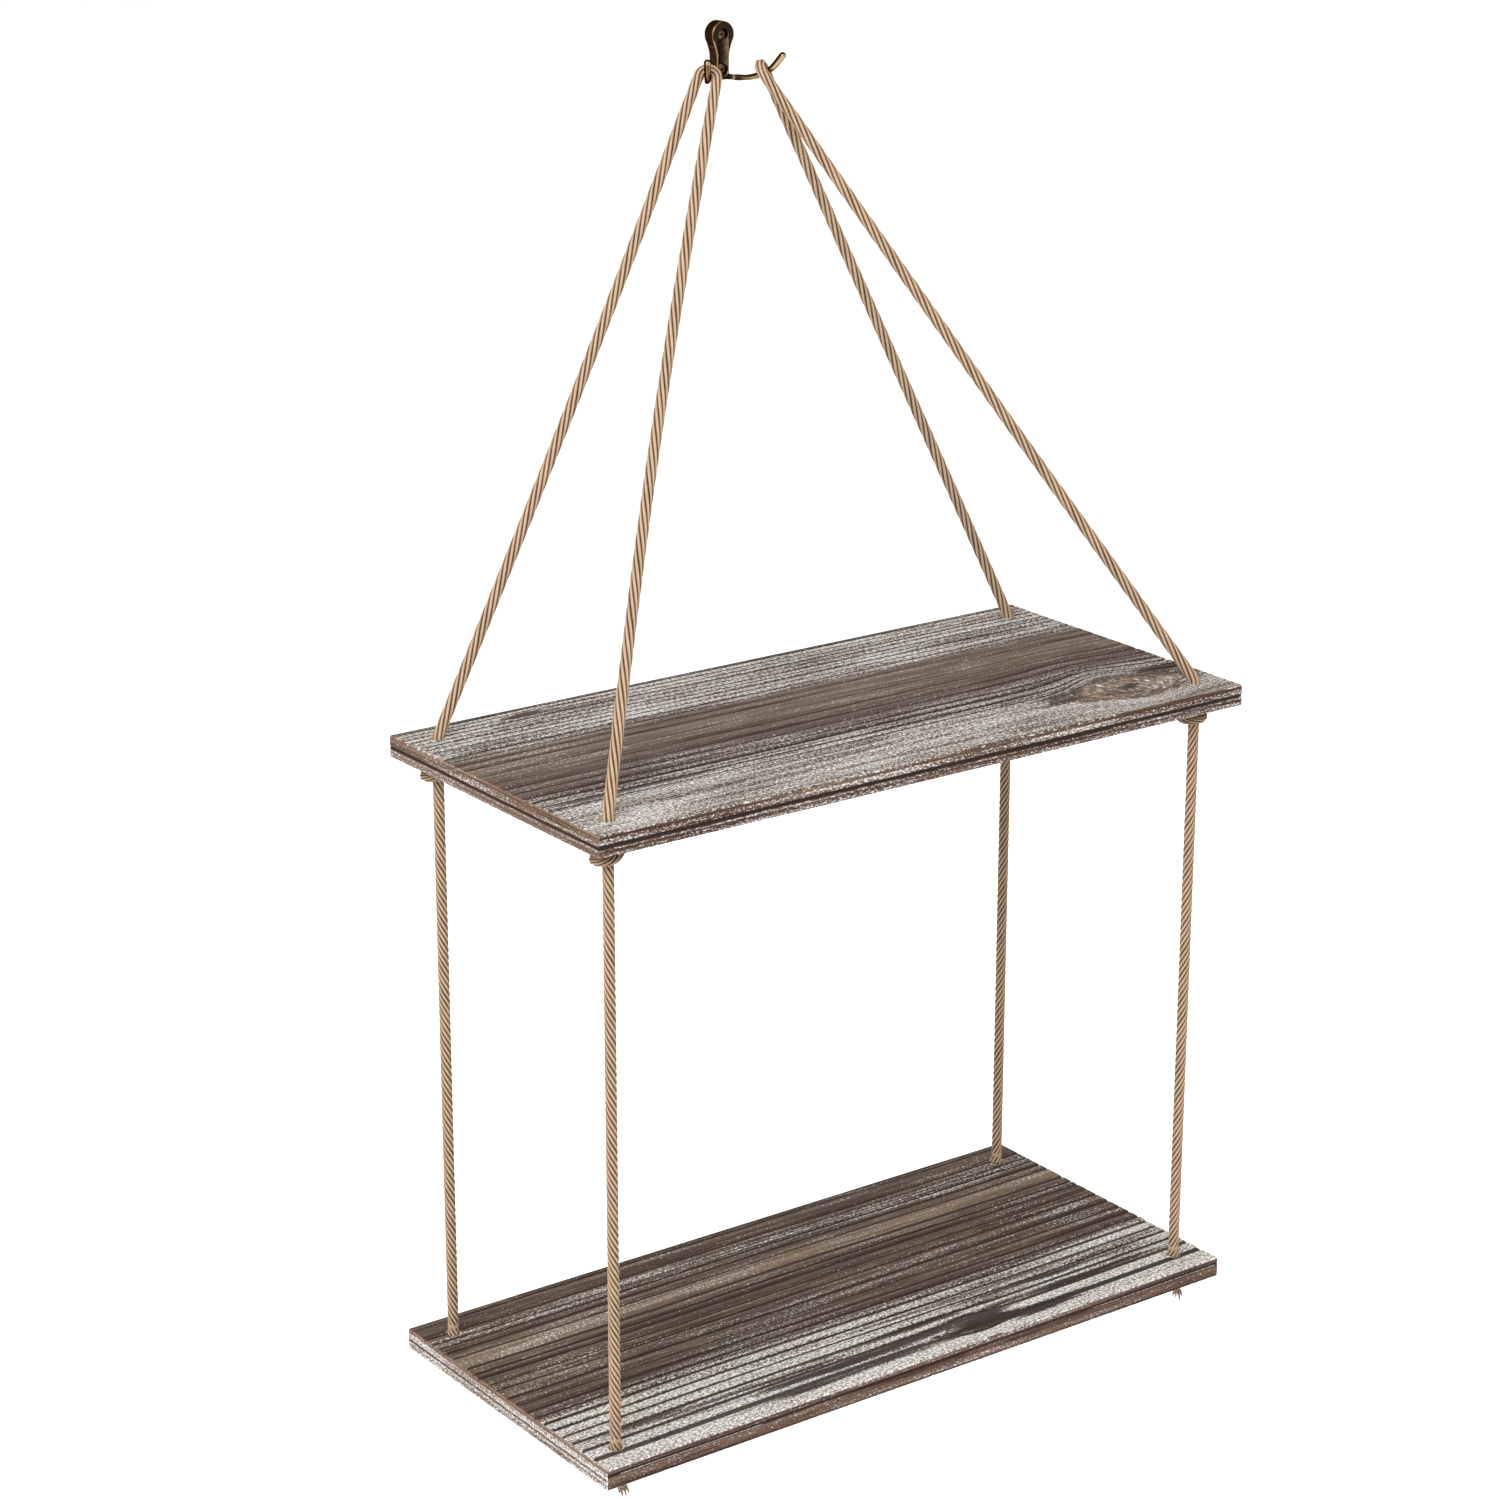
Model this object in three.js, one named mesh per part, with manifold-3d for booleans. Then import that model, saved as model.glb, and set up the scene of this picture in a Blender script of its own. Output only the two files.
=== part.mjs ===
// Hanging rope shelf: two drilled boards slung on two cords from a double wall hook.
// Millimetres, +Z up. The wall is the plane y = 0, and the room lies towards -Y.
// The origin is on the wall, behind the middle of the hook's plate, halfway between its screws.
import * as THREE from 'three';
import { mergeVertices } from 'three/addons/utils/BufferGeometryUtils.js';
import Module from 'manifold-3d';

const wasm = await Module();
wasm.setup();

// Boards
const BOARD_LENGTH = 430;
const BOARD_DEPTH = 200;
const BOARD_THICKNESS = 12;
const BOARD_EDGE_BREAK = 0.8;
const BOARD_DROP = 344;
const BOARD_PITCH = 350;
const WALL_CLEARANCE = 1;
const HOLE_DIAMETER = 9;
const HOLE_END_INSET = 18.3;
const HOLE_SIDE_INSET = 19;

// Cords
const CORD_DIAMETER = 6;
const KNOT_CORD_DIAMETER = 5;
const SLING_STEP = 18;
const SLING_BEND_RADIUS = 8;
const SLING_RIM_RISE = 2.2;
const FRONT_LEG_BOWS = { left: 7, right: 2.5 };
const REAR_LEG_BOWS = { left: -2.5, right: 0 };
const STUB_RISE = 1;
const TAIL_DROP = 17.5;
const TAIL_OFFSET = 5;

// Gaps that touching pieces keep
const SEAT_GAP = 0.3;
const SADDLE_GAP = 0.4;
const SCREW_GAP = 0.3;

// Hook plate
const PLATE_HEAD_RADIUS = 7.2;
const PLATE_HEAD_RISE = 9.2;
const PLATE_NECK_WIDTH = 7.8;
const PLATE_NECK_DROP = 4;
const PLATE_FOOT_DROP = 14.6;
const PLATE_FOOT_RADIUS = 2;
const PLATE_THICKNESS = 7.5;
const PLATE_EDGE_BREAK = 0.7;
const CHANNEL_WIDTH = 6.2;
const CHANNEL_DEPTH = 2.1;

// Hook prongs
const PRONG_DIAMETER = 3.3;
const PRONG_ROOT_DEPTH = 4.5;
const PRONG_LOW_DROP = 14.2;
const PRONG_SPREAD = 24.6;
const PRONG_REACH = 22.8;
const PRONG_RISE = 12.7;

// Screws
const SCREW_PITCH = 18.6;
const SCREW_HEAD_DIAMETER = 5.8;
const SCREW_HEAD_DEPTH = 6.3;
const SCREW_RIM_DEPTH = 5.2;
const SCREW_RIM_HEIGHT = 0.4;
const SCREW_CONE_HEIGHT = 2;
const SCREW_SHANK_DIAMETER = 3;
const SCREW_LENGTH = 26;
const SCREW_POINT_LENGTH = 4;
const RECESS_SPAN = 3.2;
const RECESS_SLOT = 0.7;
const RECESS_DEPTH = 1.3;

// How far a cutter runs past what it cuts
const OVERRUN = 2;

// Counts
const CORD_SIDES = 10;
const KNOT_SIDES = 8;
const KNOT_STEPS = 32;
const TAIL_STEPS = 5;
const WRAP_STEPS = 10;
const BEND_STEPS = 4;
const PRONG_SIDES = 12;
const PRONG_STEPS = 26;
const ROUND_SIDES = 32;
const HOLE_SIDES = 24;
const BALL_STEPS = 5;

// Half of an overhand knot in cord diameters, from the middle of its cord up to where it leaves the knot.
// The other half is the same half turned upside down about X.
const KNOT_HALF_SHARES = [
  [0.96, 0, 0],
  [0.92, -0.75, -0.26],
  [0.46, -1.31, -0.56],
  [-0.29, -1.39, -0.74],
  [-0.93, -0.93, -0.75],
  [-1.06, -0.17, -0.64],
  [-0.69, 0.44, -0.32],
  [-0.13, 0.49, 0.2],
  [0, 0.18, 0.93],
  [0, 0, 1.3],
  [0, 0, 1.65],
];
const KNOT_TURN_SHARE = 0.75;
// How much of its own height a knot keeps when the load pulls it flat against the board
const KNOT_FLAT_SHARE = 0.8;
// How far the knots under each board are turned about their cord, as shares of a full turn
const UPPER_KNOT_FACING_SHARES = { left: -0.14, right: -0.25 };
const LOWER_KNOT_FACING_SHARES = { left: 0.54, right: 0.45 };
// The tail's centre line from inside the lower knot, as shares of its offset and of its end's drop below the knot
const TAIL_ROUTE_SHARES = [[0, 0.3], [0.5, 0.55], [0.95, 0.78], [1, 1]];

// The prong's centre line as shares of its spread, reach and rise, from the plate to the tip
const PRONG_ROUTE_SHARES = [
  [0, 0, 0.12],
  [0.2, 0.01, 0.05],
  [0.37, 0.08, 0],
  [0.565, 0.33, 0.03],
  [0.66, 0.48, 0.11],
  [0.76, 0.635, 0.235],
  [0.84, 0.76, 0.41],
  [0.9, 0.855, 0.61],
  [0.95, 0.93, 0.8],
  [1, 1, 1],
];
// The prong's radius along it as shares of its full radius
const PRONG_RADIUS_SHARES = [1.5, 1, 0.8, 0.85, 0.95, 1, 1, 1, 1, 1];
// Where the cord crosses the prong, along the prong
const SADDLE_SHARE = 0.65;
// Where the plate's outline turns from its head into its neck, as shares of the head's radius and drop
const NECK_CURVE_SHARES = [0.72, 0.45];
const HEAD_SWEEP_SHARE = 0.2;

// Levels and places worked out from the sizes above
const cordRadius = CORD_DIAMETER / 2;
const boardMiddle = -WALL_CLEARANCE - BOARD_DEPTH / 2;
const holeX = BOARD_LENGTH / 2 - HOLE_END_INSET;
const holeY = BOARD_DEPTH / 2 - HOLE_SIDE_INSET;
const upperTop = -BOARD_DROP;
const lowerTop = upperTop - BOARD_PITCH;
const knotHalfHeight = (KNOT_TURN_SHARE + 1 / 2) * KNOT_CORD_DIAMETER * KNOT_FLAT_SHARE;
const knotEnd = KNOT_HALF_SHARES.at(-1)[2] * KNOT_CORD_DIAMETER * KNOT_FLAT_SHARE;
const pivotSpacing = CORD_DIAMETER + SEAT_GAP;
const upperKnotLevel = upperTop - BOARD_THICKNESS - SEAT_GAP - knotHalfHeight;
const lowerKnotLevel = lowerTop - BOARD_THICKNESS - SEAT_GAP - knotHalfHeight;
const neckPivot = upperKnotLevel - knotEnd - SEAT_GAP - cordRadius;
const dropTopPivot = neckPivot - pivotSpacing;
const footPivot = lowerTop + STUB_RISE + SEAT_GAP + cordRadius;
const dropBottomPivot = footPivot + pivotSpacing;

const SIDES = [['left', -1], ['right', 1]];
const ROWS = [['front', -1], ['rear', 1]];

const vector = (x, y, z) => new THREE.Vector3(x, y, z);
const upright = vector(0, 0, 1);

function finish(color, roughness, metalness) {
  return new THREE.MeshStandardMaterial({ color, roughness, metalness });
}

const boardFinish = () => finish('#a89e93', 0.85, 0);
const cordFinish = () => finish('#c2a27c', 0.95, 0);
const bronzeFinish = () => finish('#3a2a1c', 0.4, 0.9);
const screwFinish = () => finish('#6b5030', 0.45, 0.9);

function piece(name, geometry, material) {
  const mesh = new THREE.Mesh(geometry, material);
  mesh.name = name;
  return mesh;
}

// Closed three.js geometry to a solid that can be joined and cut
function solid(geometry) {
  const bare = geometry.clone();
  bare.deleteAttribute('normal');
  bare.deleteAttribute('uv');
  const merged = mergeVertices(bare);
  return new wasm.Manifold(new wasm.Mesh({
    numProp: 3,
    vertProperties: new Float32Array(merged.attributes.position.array),
    triVerts: new Uint32Array(merged.index.array),
  }));
}

// And back to a geometry that a mesh can show
function geometryOf(manifold) {
  const { vertProperties, triVerts } = manifold.getMesh();
  const geometry = new THREE.BufferGeometry();
  geometry.setAttribute('position', new THREE.BufferAttribute(vertProperties, 3));
  geometry.setIndex(new THREE.BufferAttribute(triVerts, 1));
  return geometry;
}

// A curve that steps through its points as given, so bends can have closer steps than straight runs
class Route extends THREE.Curve {
  constructor(points) {
    super();
    this.points = points;
  }

  getPointAt(share, target = new THREE.Vector3()) {
    const place = share * (this.points.length - 1);
    const index = Math.min(Math.floor(place), this.points.length - 2);
    return target.lerpVectors(this.points[index], this.points[index + 1], place - index);
  }

  getTangentAt(share, target = new THREE.Vector3()) {
    const last = this.points.length - 1;
    const index = Math.round(share * last);
    const heading = (from) => this.points[from + 1].clone().sub(this.points[from]).normalize();
    target.copy(heading(Math.max(index - 1, 0)));
    return target.add(heading(Math.min(index, last - 1))).normalize();
  }
}

// Round bar of equal thickness along a list of points
function cordGeometry(points, diameter, sides) {
  const section = new THREE.Shape();
  section.absarc(0, 0, diameter / 2, 0, 2 * Math.PI);
  return new THREE.ExtrudeGeometry(section, {
    steps: points.length - 1,
    curveSegments: sides / 2,
    extrudePath: new Route(points),
  });
}

// Points along a straight run, no further apart than the step, without the first
function runPoints(from, to, step) {
  const count = Math.ceil(from.distanceTo(to) / step);
  return Array.from({ length: count }, (_, i) => from.clone().lerp(to, (i + 1) / count));
}

// Points round a corner that lies between two straight runs
function bendPoints(from, corner, to, radius) {
  const half = from.clone().sub(corner).angleTo(to.clone().sub(corner)) / 2;
  const setback = radius / Math.tan(half);
  const start = corner.clone().add(from.clone().sub(corner).setLength(setback));
  const end = corner.clone().add(to.clone().sub(corner).setLength(setback));
  return new THREE.QuadraticBezierCurve3(start, corner, end).getPoints(BEND_STEPS);
}

// One board, drilled at its four corners for the cords
function board(name, top) {
  const halfLength = BOARD_LENGTH / 2 - BOARD_EDGE_BREAK;
  const halfDepth = BOARD_DEPTH / 2 - BOARD_EDGE_BREAK;
  const outline = new THREE.Shape();
  outline.moveTo(-halfLength, -halfDepth);
  outline.lineTo(halfLength, -halfDepth);
  outline.lineTo(halfLength, halfDepth);
  outline.lineTo(-halfLength, halfDepth);
  for (const [, side] of SIDES) {
    for (const [, row] of ROWS) {
      const hole = new THREE.Path();
      hole.absarc(side * holeX, row * holeY, HOLE_DIAMETER / 2 + BOARD_EDGE_BREAK, 0, 2 * Math.PI);
      outline.holes.push(hole);
    }
  }
  const geometry = new THREE.ExtrudeGeometry(outline, {
    depth: BOARD_THICKNESS - 2 * BOARD_EDGE_BREAK,
    curveSegments: HOLE_SIDES / 2,
    bevelThickness: BOARD_EDGE_BREAK,
    bevelSize: BOARD_EDGE_BREAK,
    bevelSegments: 1,
  });
  const mesh = piece(name, geometry, boardFinish());
  mesh.position.set(0, boardMiddle, top - BOARD_THICKNESS + BOARD_EDGE_BREAK);
  return mesh;
}

// Centre line of one prong, from inside the plate's foot to its tip
function prongCurve(side) {
  return new THREE.CatmullRomCurve3(PRONG_ROUTE_SHARES.map(([spread, reach, rise]) => vector(
    side * spread * PRONG_SPREAD,
    -PRONG_ROOT_DEPTH - reach * PRONG_REACH,
    -PRONG_LOW_DROP + rise * PRONG_RISE,
  )), false, 'centripetal');
}

function prongRadiusShare(share) {
  const place = share * (PRONG_RADIUS_SHARES.length - 1);
  const index = Math.min(Math.floor(place), PRONG_RADIUS_SHARES.length - 2);
  return THREE.MathUtils.lerp(PRONG_RADIUS_SHARES[index], PRONG_RADIUS_SHARES[index + 1], place - index);
}

// One prong: a bar that thickens into the plate and ends in a round tip
function prongSolid(side) {
  const spine = prongCurve(side).getSpacedPoints(PRONG_STEPS);
  const bar = cordGeometry(spine, PRONG_DIAMETER, PRONG_SIDES);
  const places = bar.attributes.position;
  const corner = new THREE.Vector3();
  for (let i = 0; i < places.count; i += 1) {
    corner.fromBufferAttribute(places, i);
    const gaps = spine.map((point) => point.distanceTo(corner));
    const nearest = gaps.indexOf(Math.min(...gaps));
    corner.sub(spine[nearest]).multiplyScalar(prongRadiusShare(nearest / PRONG_STEPS)).add(spine[nearest]);
    places.setXYZ(i, corner.x, corner.y, corner.z);
  }
  const tip = new THREE.SphereGeometry(PRONG_DIAMETER / 2, PRONG_SIDES, PRONG_SIDES / 2);
  const end = spine[spine.length - 1];
  tip.translate(end.x, end.y, end.z);
  return solid(bar).add(solid(tip));
}

// Outline of the plate as seen from the room: a round head, a waisted neck and a small round foot
function plateOutline() {
  const grow = PLATE_EDGE_BREAK;
  const head = PLATE_HEAD_RADIUS - grow;
  const neck = PLATE_NECK_WIDTH / 2 - grow;
  const foot = -PLATE_FOOT_DROP + grow;
  const sweep = HEAD_SWEEP_SHARE * Math.PI;
  const shoulderX = head * Math.cos(sweep);
  const shoulderZ = PLATE_HEAD_RISE - head * Math.sin(sweep);
  const [outShare, downShare] = NECK_CURVE_SHARES;
  const bend = shoulderZ + PLATE_NECK_DROP;
  const outline = new THREE.Shape();
  outline.absarc(0, PLATE_HEAD_RISE, head, -sweep, Math.PI + sweep);
  outline.bezierCurveTo(
    -shoulderX * outShare, shoulderZ - bend * downShare,
    -neck, -PLATE_NECK_DROP + bend * downShare,
    -neck, -PLATE_NECK_DROP,
  );
  outline.lineTo(-neck, foot + PLATE_FOOT_RADIUS);
  outline.quadraticCurveTo(-neck, foot, -neck + PLATE_FOOT_RADIUS, foot);
  outline.lineTo(neck - PLATE_FOOT_RADIUS, foot);
  outline.quadraticCurveTo(neck, foot, neck, foot + PLATE_FOOT_RADIUS);
  outline.lineTo(neck, -PLATE_NECK_DROP);
  outline.bezierCurveTo(
    neck, -PLATE_NECK_DROP + bend * downShare,
    shoulderX * outShare, shoulderZ - bend * downShare,
    shoulderX, shoulderZ,
  );
  return outline;
}

// Plate with eased front edges and a flat back on the wall
function plateSolid() {
  const slab = new THREE.ExtrudeGeometry(plateOutline(), {
    depth: PLATE_THICKNESS,
    curveSegments: ROUND_SIDES / 4,
    bevelThickness: PLATE_EDGE_BREAK,
    bevelSize: PLATE_EDGE_BREAK,
    bevelSegments: 2,
  });
  slab.translate(0, 0, -PLATE_EDGE_BREAK);
  slab.rotateX(Math.PI / 2);
  const reach = 4 * PLATE_FOOT_DROP;
  const wall = new THREE.BoxGeometry(reach, 2 * PLATE_EDGE_BREAK, reach);
  wall.translate(0, PLATE_EDGE_BREAK, 0);
  return solid(slab).subtract(solid(wall));
}

// Rounded groove that the screws sit in
function channelSolid() {
  const half = CHANNEL_WIDTH / 2;
  const radius = (half * half + CHANNEL_DEPTH * CHANNEL_DEPTH) / (2 * CHANNEL_DEPTH);
  const groove = new THREE.CapsuleGeometry(radius, SCREW_PITCH, ROUND_SIDES / 4, ROUND_SIDES);
  groove.rotateX(Math.PI / 2);
  groove.translate(0, -PLATE_THICKNESS + CHANNEL_DEPTH - radius, 0);
  return solid(groove);
}

// Turned solid whose axis points out of the wall, from pairs of radius and depth off the wall
function turned(profile) {
  const lathe = new THREE.LatheGeometry(profile.map(([radius, depth]) => new THREE.Vector2(radius, depth)),
    ROUND_SIDES / 2);
  lathe.rotateX(Math.PI);
  return lathe;
}

// Sunk seat and clearance hole for one screw
function screwSeat(level) {
  const seat = SCREW_HEAD_DIAMETER / 2 + SCREW_GAP;
  const shank = SCREW_SHANK_DIAMETER / 2 + SCREW_GAP;
  const floor = SCREW_RIM_DEPTH - SCREW_RIM_HEIGHT - SCREW_GAP;
  const cutter = turned([
    [0, -OVERRUN],
    [shank, -OVERRUN],
    [shank, floor - SCREW_CONE_HEIGHT],
    [seat, floor],
    [seat, PLATE_THICKNESS + OVERRUN],
    [0, PLATE_THICKNESS + OVERRUN],
  ]);
  cutter.translate(0, 0, level);
  return solid(cutter);
}

// The hook: plate and both prongs in one casting
function hook() {
  let body = plateSolid().subtract(channelSolid());
  for (const [, side] of SIDES) {
    body = body.add(prongSolid(side));
  }
  body = body.subtract(screwSeat(SCREW_PITCH / 2)).subtract(screwSeat(-SCREW_PITCH / 2));
  return piece('hook', geometryOf(body), bronzeFinish());
}

// Oval-head screw with a crossed recess, driven into the wall
function screw(name, level) {
  const head = SCREW_HEAD_DIAMETER / 2;
  const shank = SCREW_SHANK_DIAMETER / 2;
  const rim = SCREW_RIM_DEPTH;
  const tip = SCREW_HEAD_DEPTH - SCREW_LENGTH;
  const body = turned([
    [0, tip],
    [shank, tip + SCREW_POINT_LENGTH],
    [shank, rim - SCREW_RIM_HEIGHT - SCREW_CONE_HEIGHT],
    [head, rim - SCREW_RIM_HEIGHT],
    [head, rim],
    [head * Math.cos(Math.PI / 6), rim + (SCREW_HEAD_DEPTH - rim) * Math.sin(Math.PI / 6)],
    [head * Math.cos(Math.PI / 3), rim + (SCREW_HEAD_DEPTH - rim) * Math.sin(Math.PI / 3)],
    [0, SCREW_HEAD_DEPTH],
  ]);
  let shape = solid(body);
  for (const turn of [0, Math.PI / 2]) {
    const slot = new THREE.BoxGeometry(RECESS_SPAN, 2 * RECESS_DEPTH, RECESS_SLOT);
    slot.translate(0, -SCREW_HEAD_DEPTH, 0);
    slot.rotateY(turn);
    shape = shape.subtract(solid(slot));
  }
  const mesh = piece(name, geometryOf(shape), screwFinish());
  mesh.position.set(0, 0, level);
  return mesh;
}

// Where the cord crosses the prong: the prong's centre and heading, up off the prong, and across it to the rear
function saddle(side) {
  const curve = prongCurve(side);
  const centre = curve.getPointAt(SADDLE_SHARE);
  const along = curve.getTangentAt(SADDLE_SHARE);
  const up = upright.clone().projectOnPlane(along).normalize();
  const across = along.clone().cross(up).multiplyScalar(-side);
  return { centre, along, up, across };
}

// Points of the cord's half turn over the prong, from the rear leg to the front leg
function wrapPoints(side, rearHole, frontHole) {
  const { centre, along, up, across } = saddle(side);
  const radius = PRONG_DIAMETER / 2 + SADDLE_GAP + cordRadius;
  const rear = rearHole.clone().sub(centre).normalize();
  const front = frontHole.clone().sub(centre).normalize();
  const lean = (leg) => Math.atan2(leg.dot(across), -leg.dot(up));
  const slope = (leg) => leg.dot(along) / Math.hypot(leg.dot(across), leg.dot(up));
  const start = lean(rear);
  const turn = Math.PI + lean(front) - start;
  const drift = (share) => radius * turn * share
    * (-slope(rear) + (slope(front) + slope(rear)) * share / 2);
  return Array.from({ length: WRAP_STEPS + 1 }, (_, i) => {
    const share = i / WRAP_STEPS;
    const angle = start + turn * share;
    return centre.clone()
      .addScaledVector(across, radius * Math.cos(angle))
      .addScaledVector(up, radius * Math.sin(angle))
      .addScaledVector(along, drift(share) - drift(1) / 2);
  });
}

// One leg of a sling, from inside its hole up to where it meets the prong.
// It leans over the hole's mouth so that its side passes just above the rim, and bows a little on its way up.
function legPoints(side, row, meeting, bow) {
  const bottom = vector(side * holeX, boardMiddle + row * holeY, upperKnotLevel + knotEnd + SEAT_GAP);
  const mouth = bottom.clone().setZ(upperTop);
  const lean = upright.angleTo(meeting.clone().sub(mouth));
  const room = HOLE_DIAMETER / 2 + BOARD_EDGE_BREAK - cordRadius / Math.cos(lean);
  const corner = mouth.clone().setZ(upperTop + SLING_RIM_RISE - room / Math.tan(lean));
  const bend = bendPoints(bottom, corner, meeting, SLING_BEND_RADIUS);
  const run = runPoints(bend[BEND_STEPS], meeting, SLING_STEP);
  run.forEach((point, i) => {
    point.y += bow * Math.sin((Math.PI * (i + 1)) / run.length);
  });
  return [bottom, ...bend, ...run];
}

// One sling: a cord from a front hole of the upper board over the prong to the rear hole
function sling(name, side, rearBow, frontBow) {
  const mouth = (row) => vector(side * holeX, boardMiddle + row * holeY, upperTop);
  const wrap = wrapPoints(side, mouth(1), mouth(-1));
  const rear = legPoints(side, 1, wrap[0], rearBow);
  const front = legPoints(side, -1, wrap[WRAP_STEPS], frontBow);
  const points = [...rear, ...wrap.slice(1, WRAP_STEPS), ...front.reverse()];
  return piece(name, cordGeometry(points, CORD_DIAMETER, CORD_SIDES), cordFinish());
}

// Centre line of an overhand knot, from its lower end to its upper end
function knotPoints(side) {
  const upper = KNOT_HALF_SHARES.map(([x, y, z]) => vector(-side * x, y, z).multiplyScalar(KNOT_CORD_DIAMETER));
  const lower = upper.slice(1).map(({ x, y, z }) => vector(x, -y, -z)).reverse();
  return [...lower, ...upper];
}

function knotGeometry(points) {
  const curve = new THREE.CatmullRomCurve3(points, false, 'centripetal');
  const round = cordGeometry(curve.getSpacedPoints(KNOT_STEPS), KNOT_CORD_DIAMETER, KNOT_SIDES);
  return round.scale(1, 1, KNOT_FLAT_SHARE);
}

// Knot that carries the upper board
function upperKnot(name, side, row, facing) {
  const geometry = knotGeometry(knotPoints(side)).rotateZ(facing);
  const mesh = piece(name, geometry, cordFinish());
  mesh.position.set(side * holeX, boardMiddle + row * holeY, upperKnotLevel);
  return mesh;
}

// End of a cord: through the lower board, knotted under it, with a short frayed tail
function cordEnd(name, side, row, facing) {
  const tailEnd = lowerTop - BOARD_THICKNESS - TAIL_DROP - lowerKnotLevel;
  const tail = new THREE.CatmullRomCurve3(
    TAIL_ROUTE_SHARES.map(([offset, drop]) => vector(offset * TAIL_OFFSET, 0, drop * tailEnd)),
  );
  const knot = solid(knotGeometry(knotPoints(side).slice(1)).rotateZ(facing))
    .add(solid(cordGeometry(tail.getSpacedPoints(TAIL_STEPS), KNOT_CORD_DIAMETER, KNOT_SIDES)));
  const stubTop = lowerTop + STUB_RISE - lowerKnotLevel;
  const stubBottom = knotEnd - SEAT_GAP;
  const stub = new THREE.CylinderGeometry(cordRadius, cordRadius, stubTop - stubBottom, CORD_SIDES);
  stub.rotateX(Math.PI / 2);
  stub.translate(0, 0, (stubTop + stubBottom) / 2);
  const mesh = piece(name, geometryOf(knot.add(solid(stub))), cordFinish());
  mesh.position.set(side * holeX, boardMiddle + row * holeY, lowerKnotLevel);
  return mesh;
}

// Quarter circle from the axis out to the cord's radius, above or below a pivot
function ballProfile(pivot, upward) {
  return Array.from({ length: BALL_STEPS + 1 }, (_, i) => {
    const angle = (i / BALL_STEPS) * (Math.PI / 2);
    return new THREE.Vector2(cordRadius * Math.sin(angle), pivot + upward * cordRadius * Math.cos(angle));
  });
}

// Upright stretch of cord turned about its own axis
function stretch(name, profile, side, row) {
  const lathe = new THREE.LatheGeometry(profile, CORD_SIDES);
  lathe.rotateX(Math.PI / 2);
  const mesh = piece(name, lathe, cordFinish());
  mesh.position.set(side * holeX, boardMiddle + row * holeY, 0);
  return mesh;
}

// Short bend of cord under an upper knot, which lets the drop swing to and from the wall
function neck(name, side, row) {
  const flat = dropTopPivot + cordRadius + SEAT_GAP;
  const profile = [new THREE.Vector2(0, flat), new THREE.Vector2(cordRadius, flat)];
  return stretch(name, [...profile, ...ballProfile(neckPivot, 1).reverse()], side, row);
}

// Long straight drop between the boards
function drop(name, side, row) {
  const profile = [...ballProfile(dropBottomPivot, -1), ...ballProfile(dropTopPivot, 1).reverse()];
  return stretch(name, profile, side, row);
}

// Short bend of cord over the lower board
function foot(name, side, row) {
  const flat = dropBottomPivot - cordRadius - SEAT_GAP;
  const profile = [new THREE.Vector2(cordRadius, flat), new THREE.Vector2(0, flat)];
  return stretch(name, [...ballProfile(footPivot, -1), ...profile], side, row);
}

const shelf = new THREE.Group();
shelf.add(hook());
shelf.add(screw('screw_upper', SCREW_PITCH / 2));
shelf.add(screw('screw_lower', -SCREW_PITCH / 2));
shelf.add(board('board_upper', upperTop));
shelf.add(board('board_lower', lowerTop));
for (const [sideName, side] of SIDES) {
  const upperFacing = UPPER_KNOT_FACING_SHARES[sideName] * 2 * Math.PI;
  const lowerFacing = LOWER_KNOT_FACING_SHARES[sideName] * 2 * Math.PI;
  shelf.add(sling(`sling_${sideName}`, side, REAR_LEG_BOWS[sideName], FRONT_LEG_BOWS[sideName]));
  for (const [rowName, row] of ROWS) {
    const corner = `${rowName}_${sideName}`;
    shelf.add(upperKnot(`knot_${corner}`, side, row, upperFacing));
    shelf.add(neck(`neck_${corner}`, side, row));
    shelf.add(drop(`drop_${corner}`, side, row));
    shelf.add(foot(`foot_${corner}`, side, row));
    shelf.add(cordEnd(`end_${corner}`, side, row, lowerFacing));
  }
}

export default shelf;
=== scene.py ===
"""Looks of a hanging rope shelf, built round its solids: laid cords with knots and frayed tails,
torched and whitewashed boards, and a bronze wall hook.

Metres, +Z up. The wall is the plane y = 0 and the room lies towards -Y.
"""

import math
from itertools import accumulate, pairwise

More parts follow.
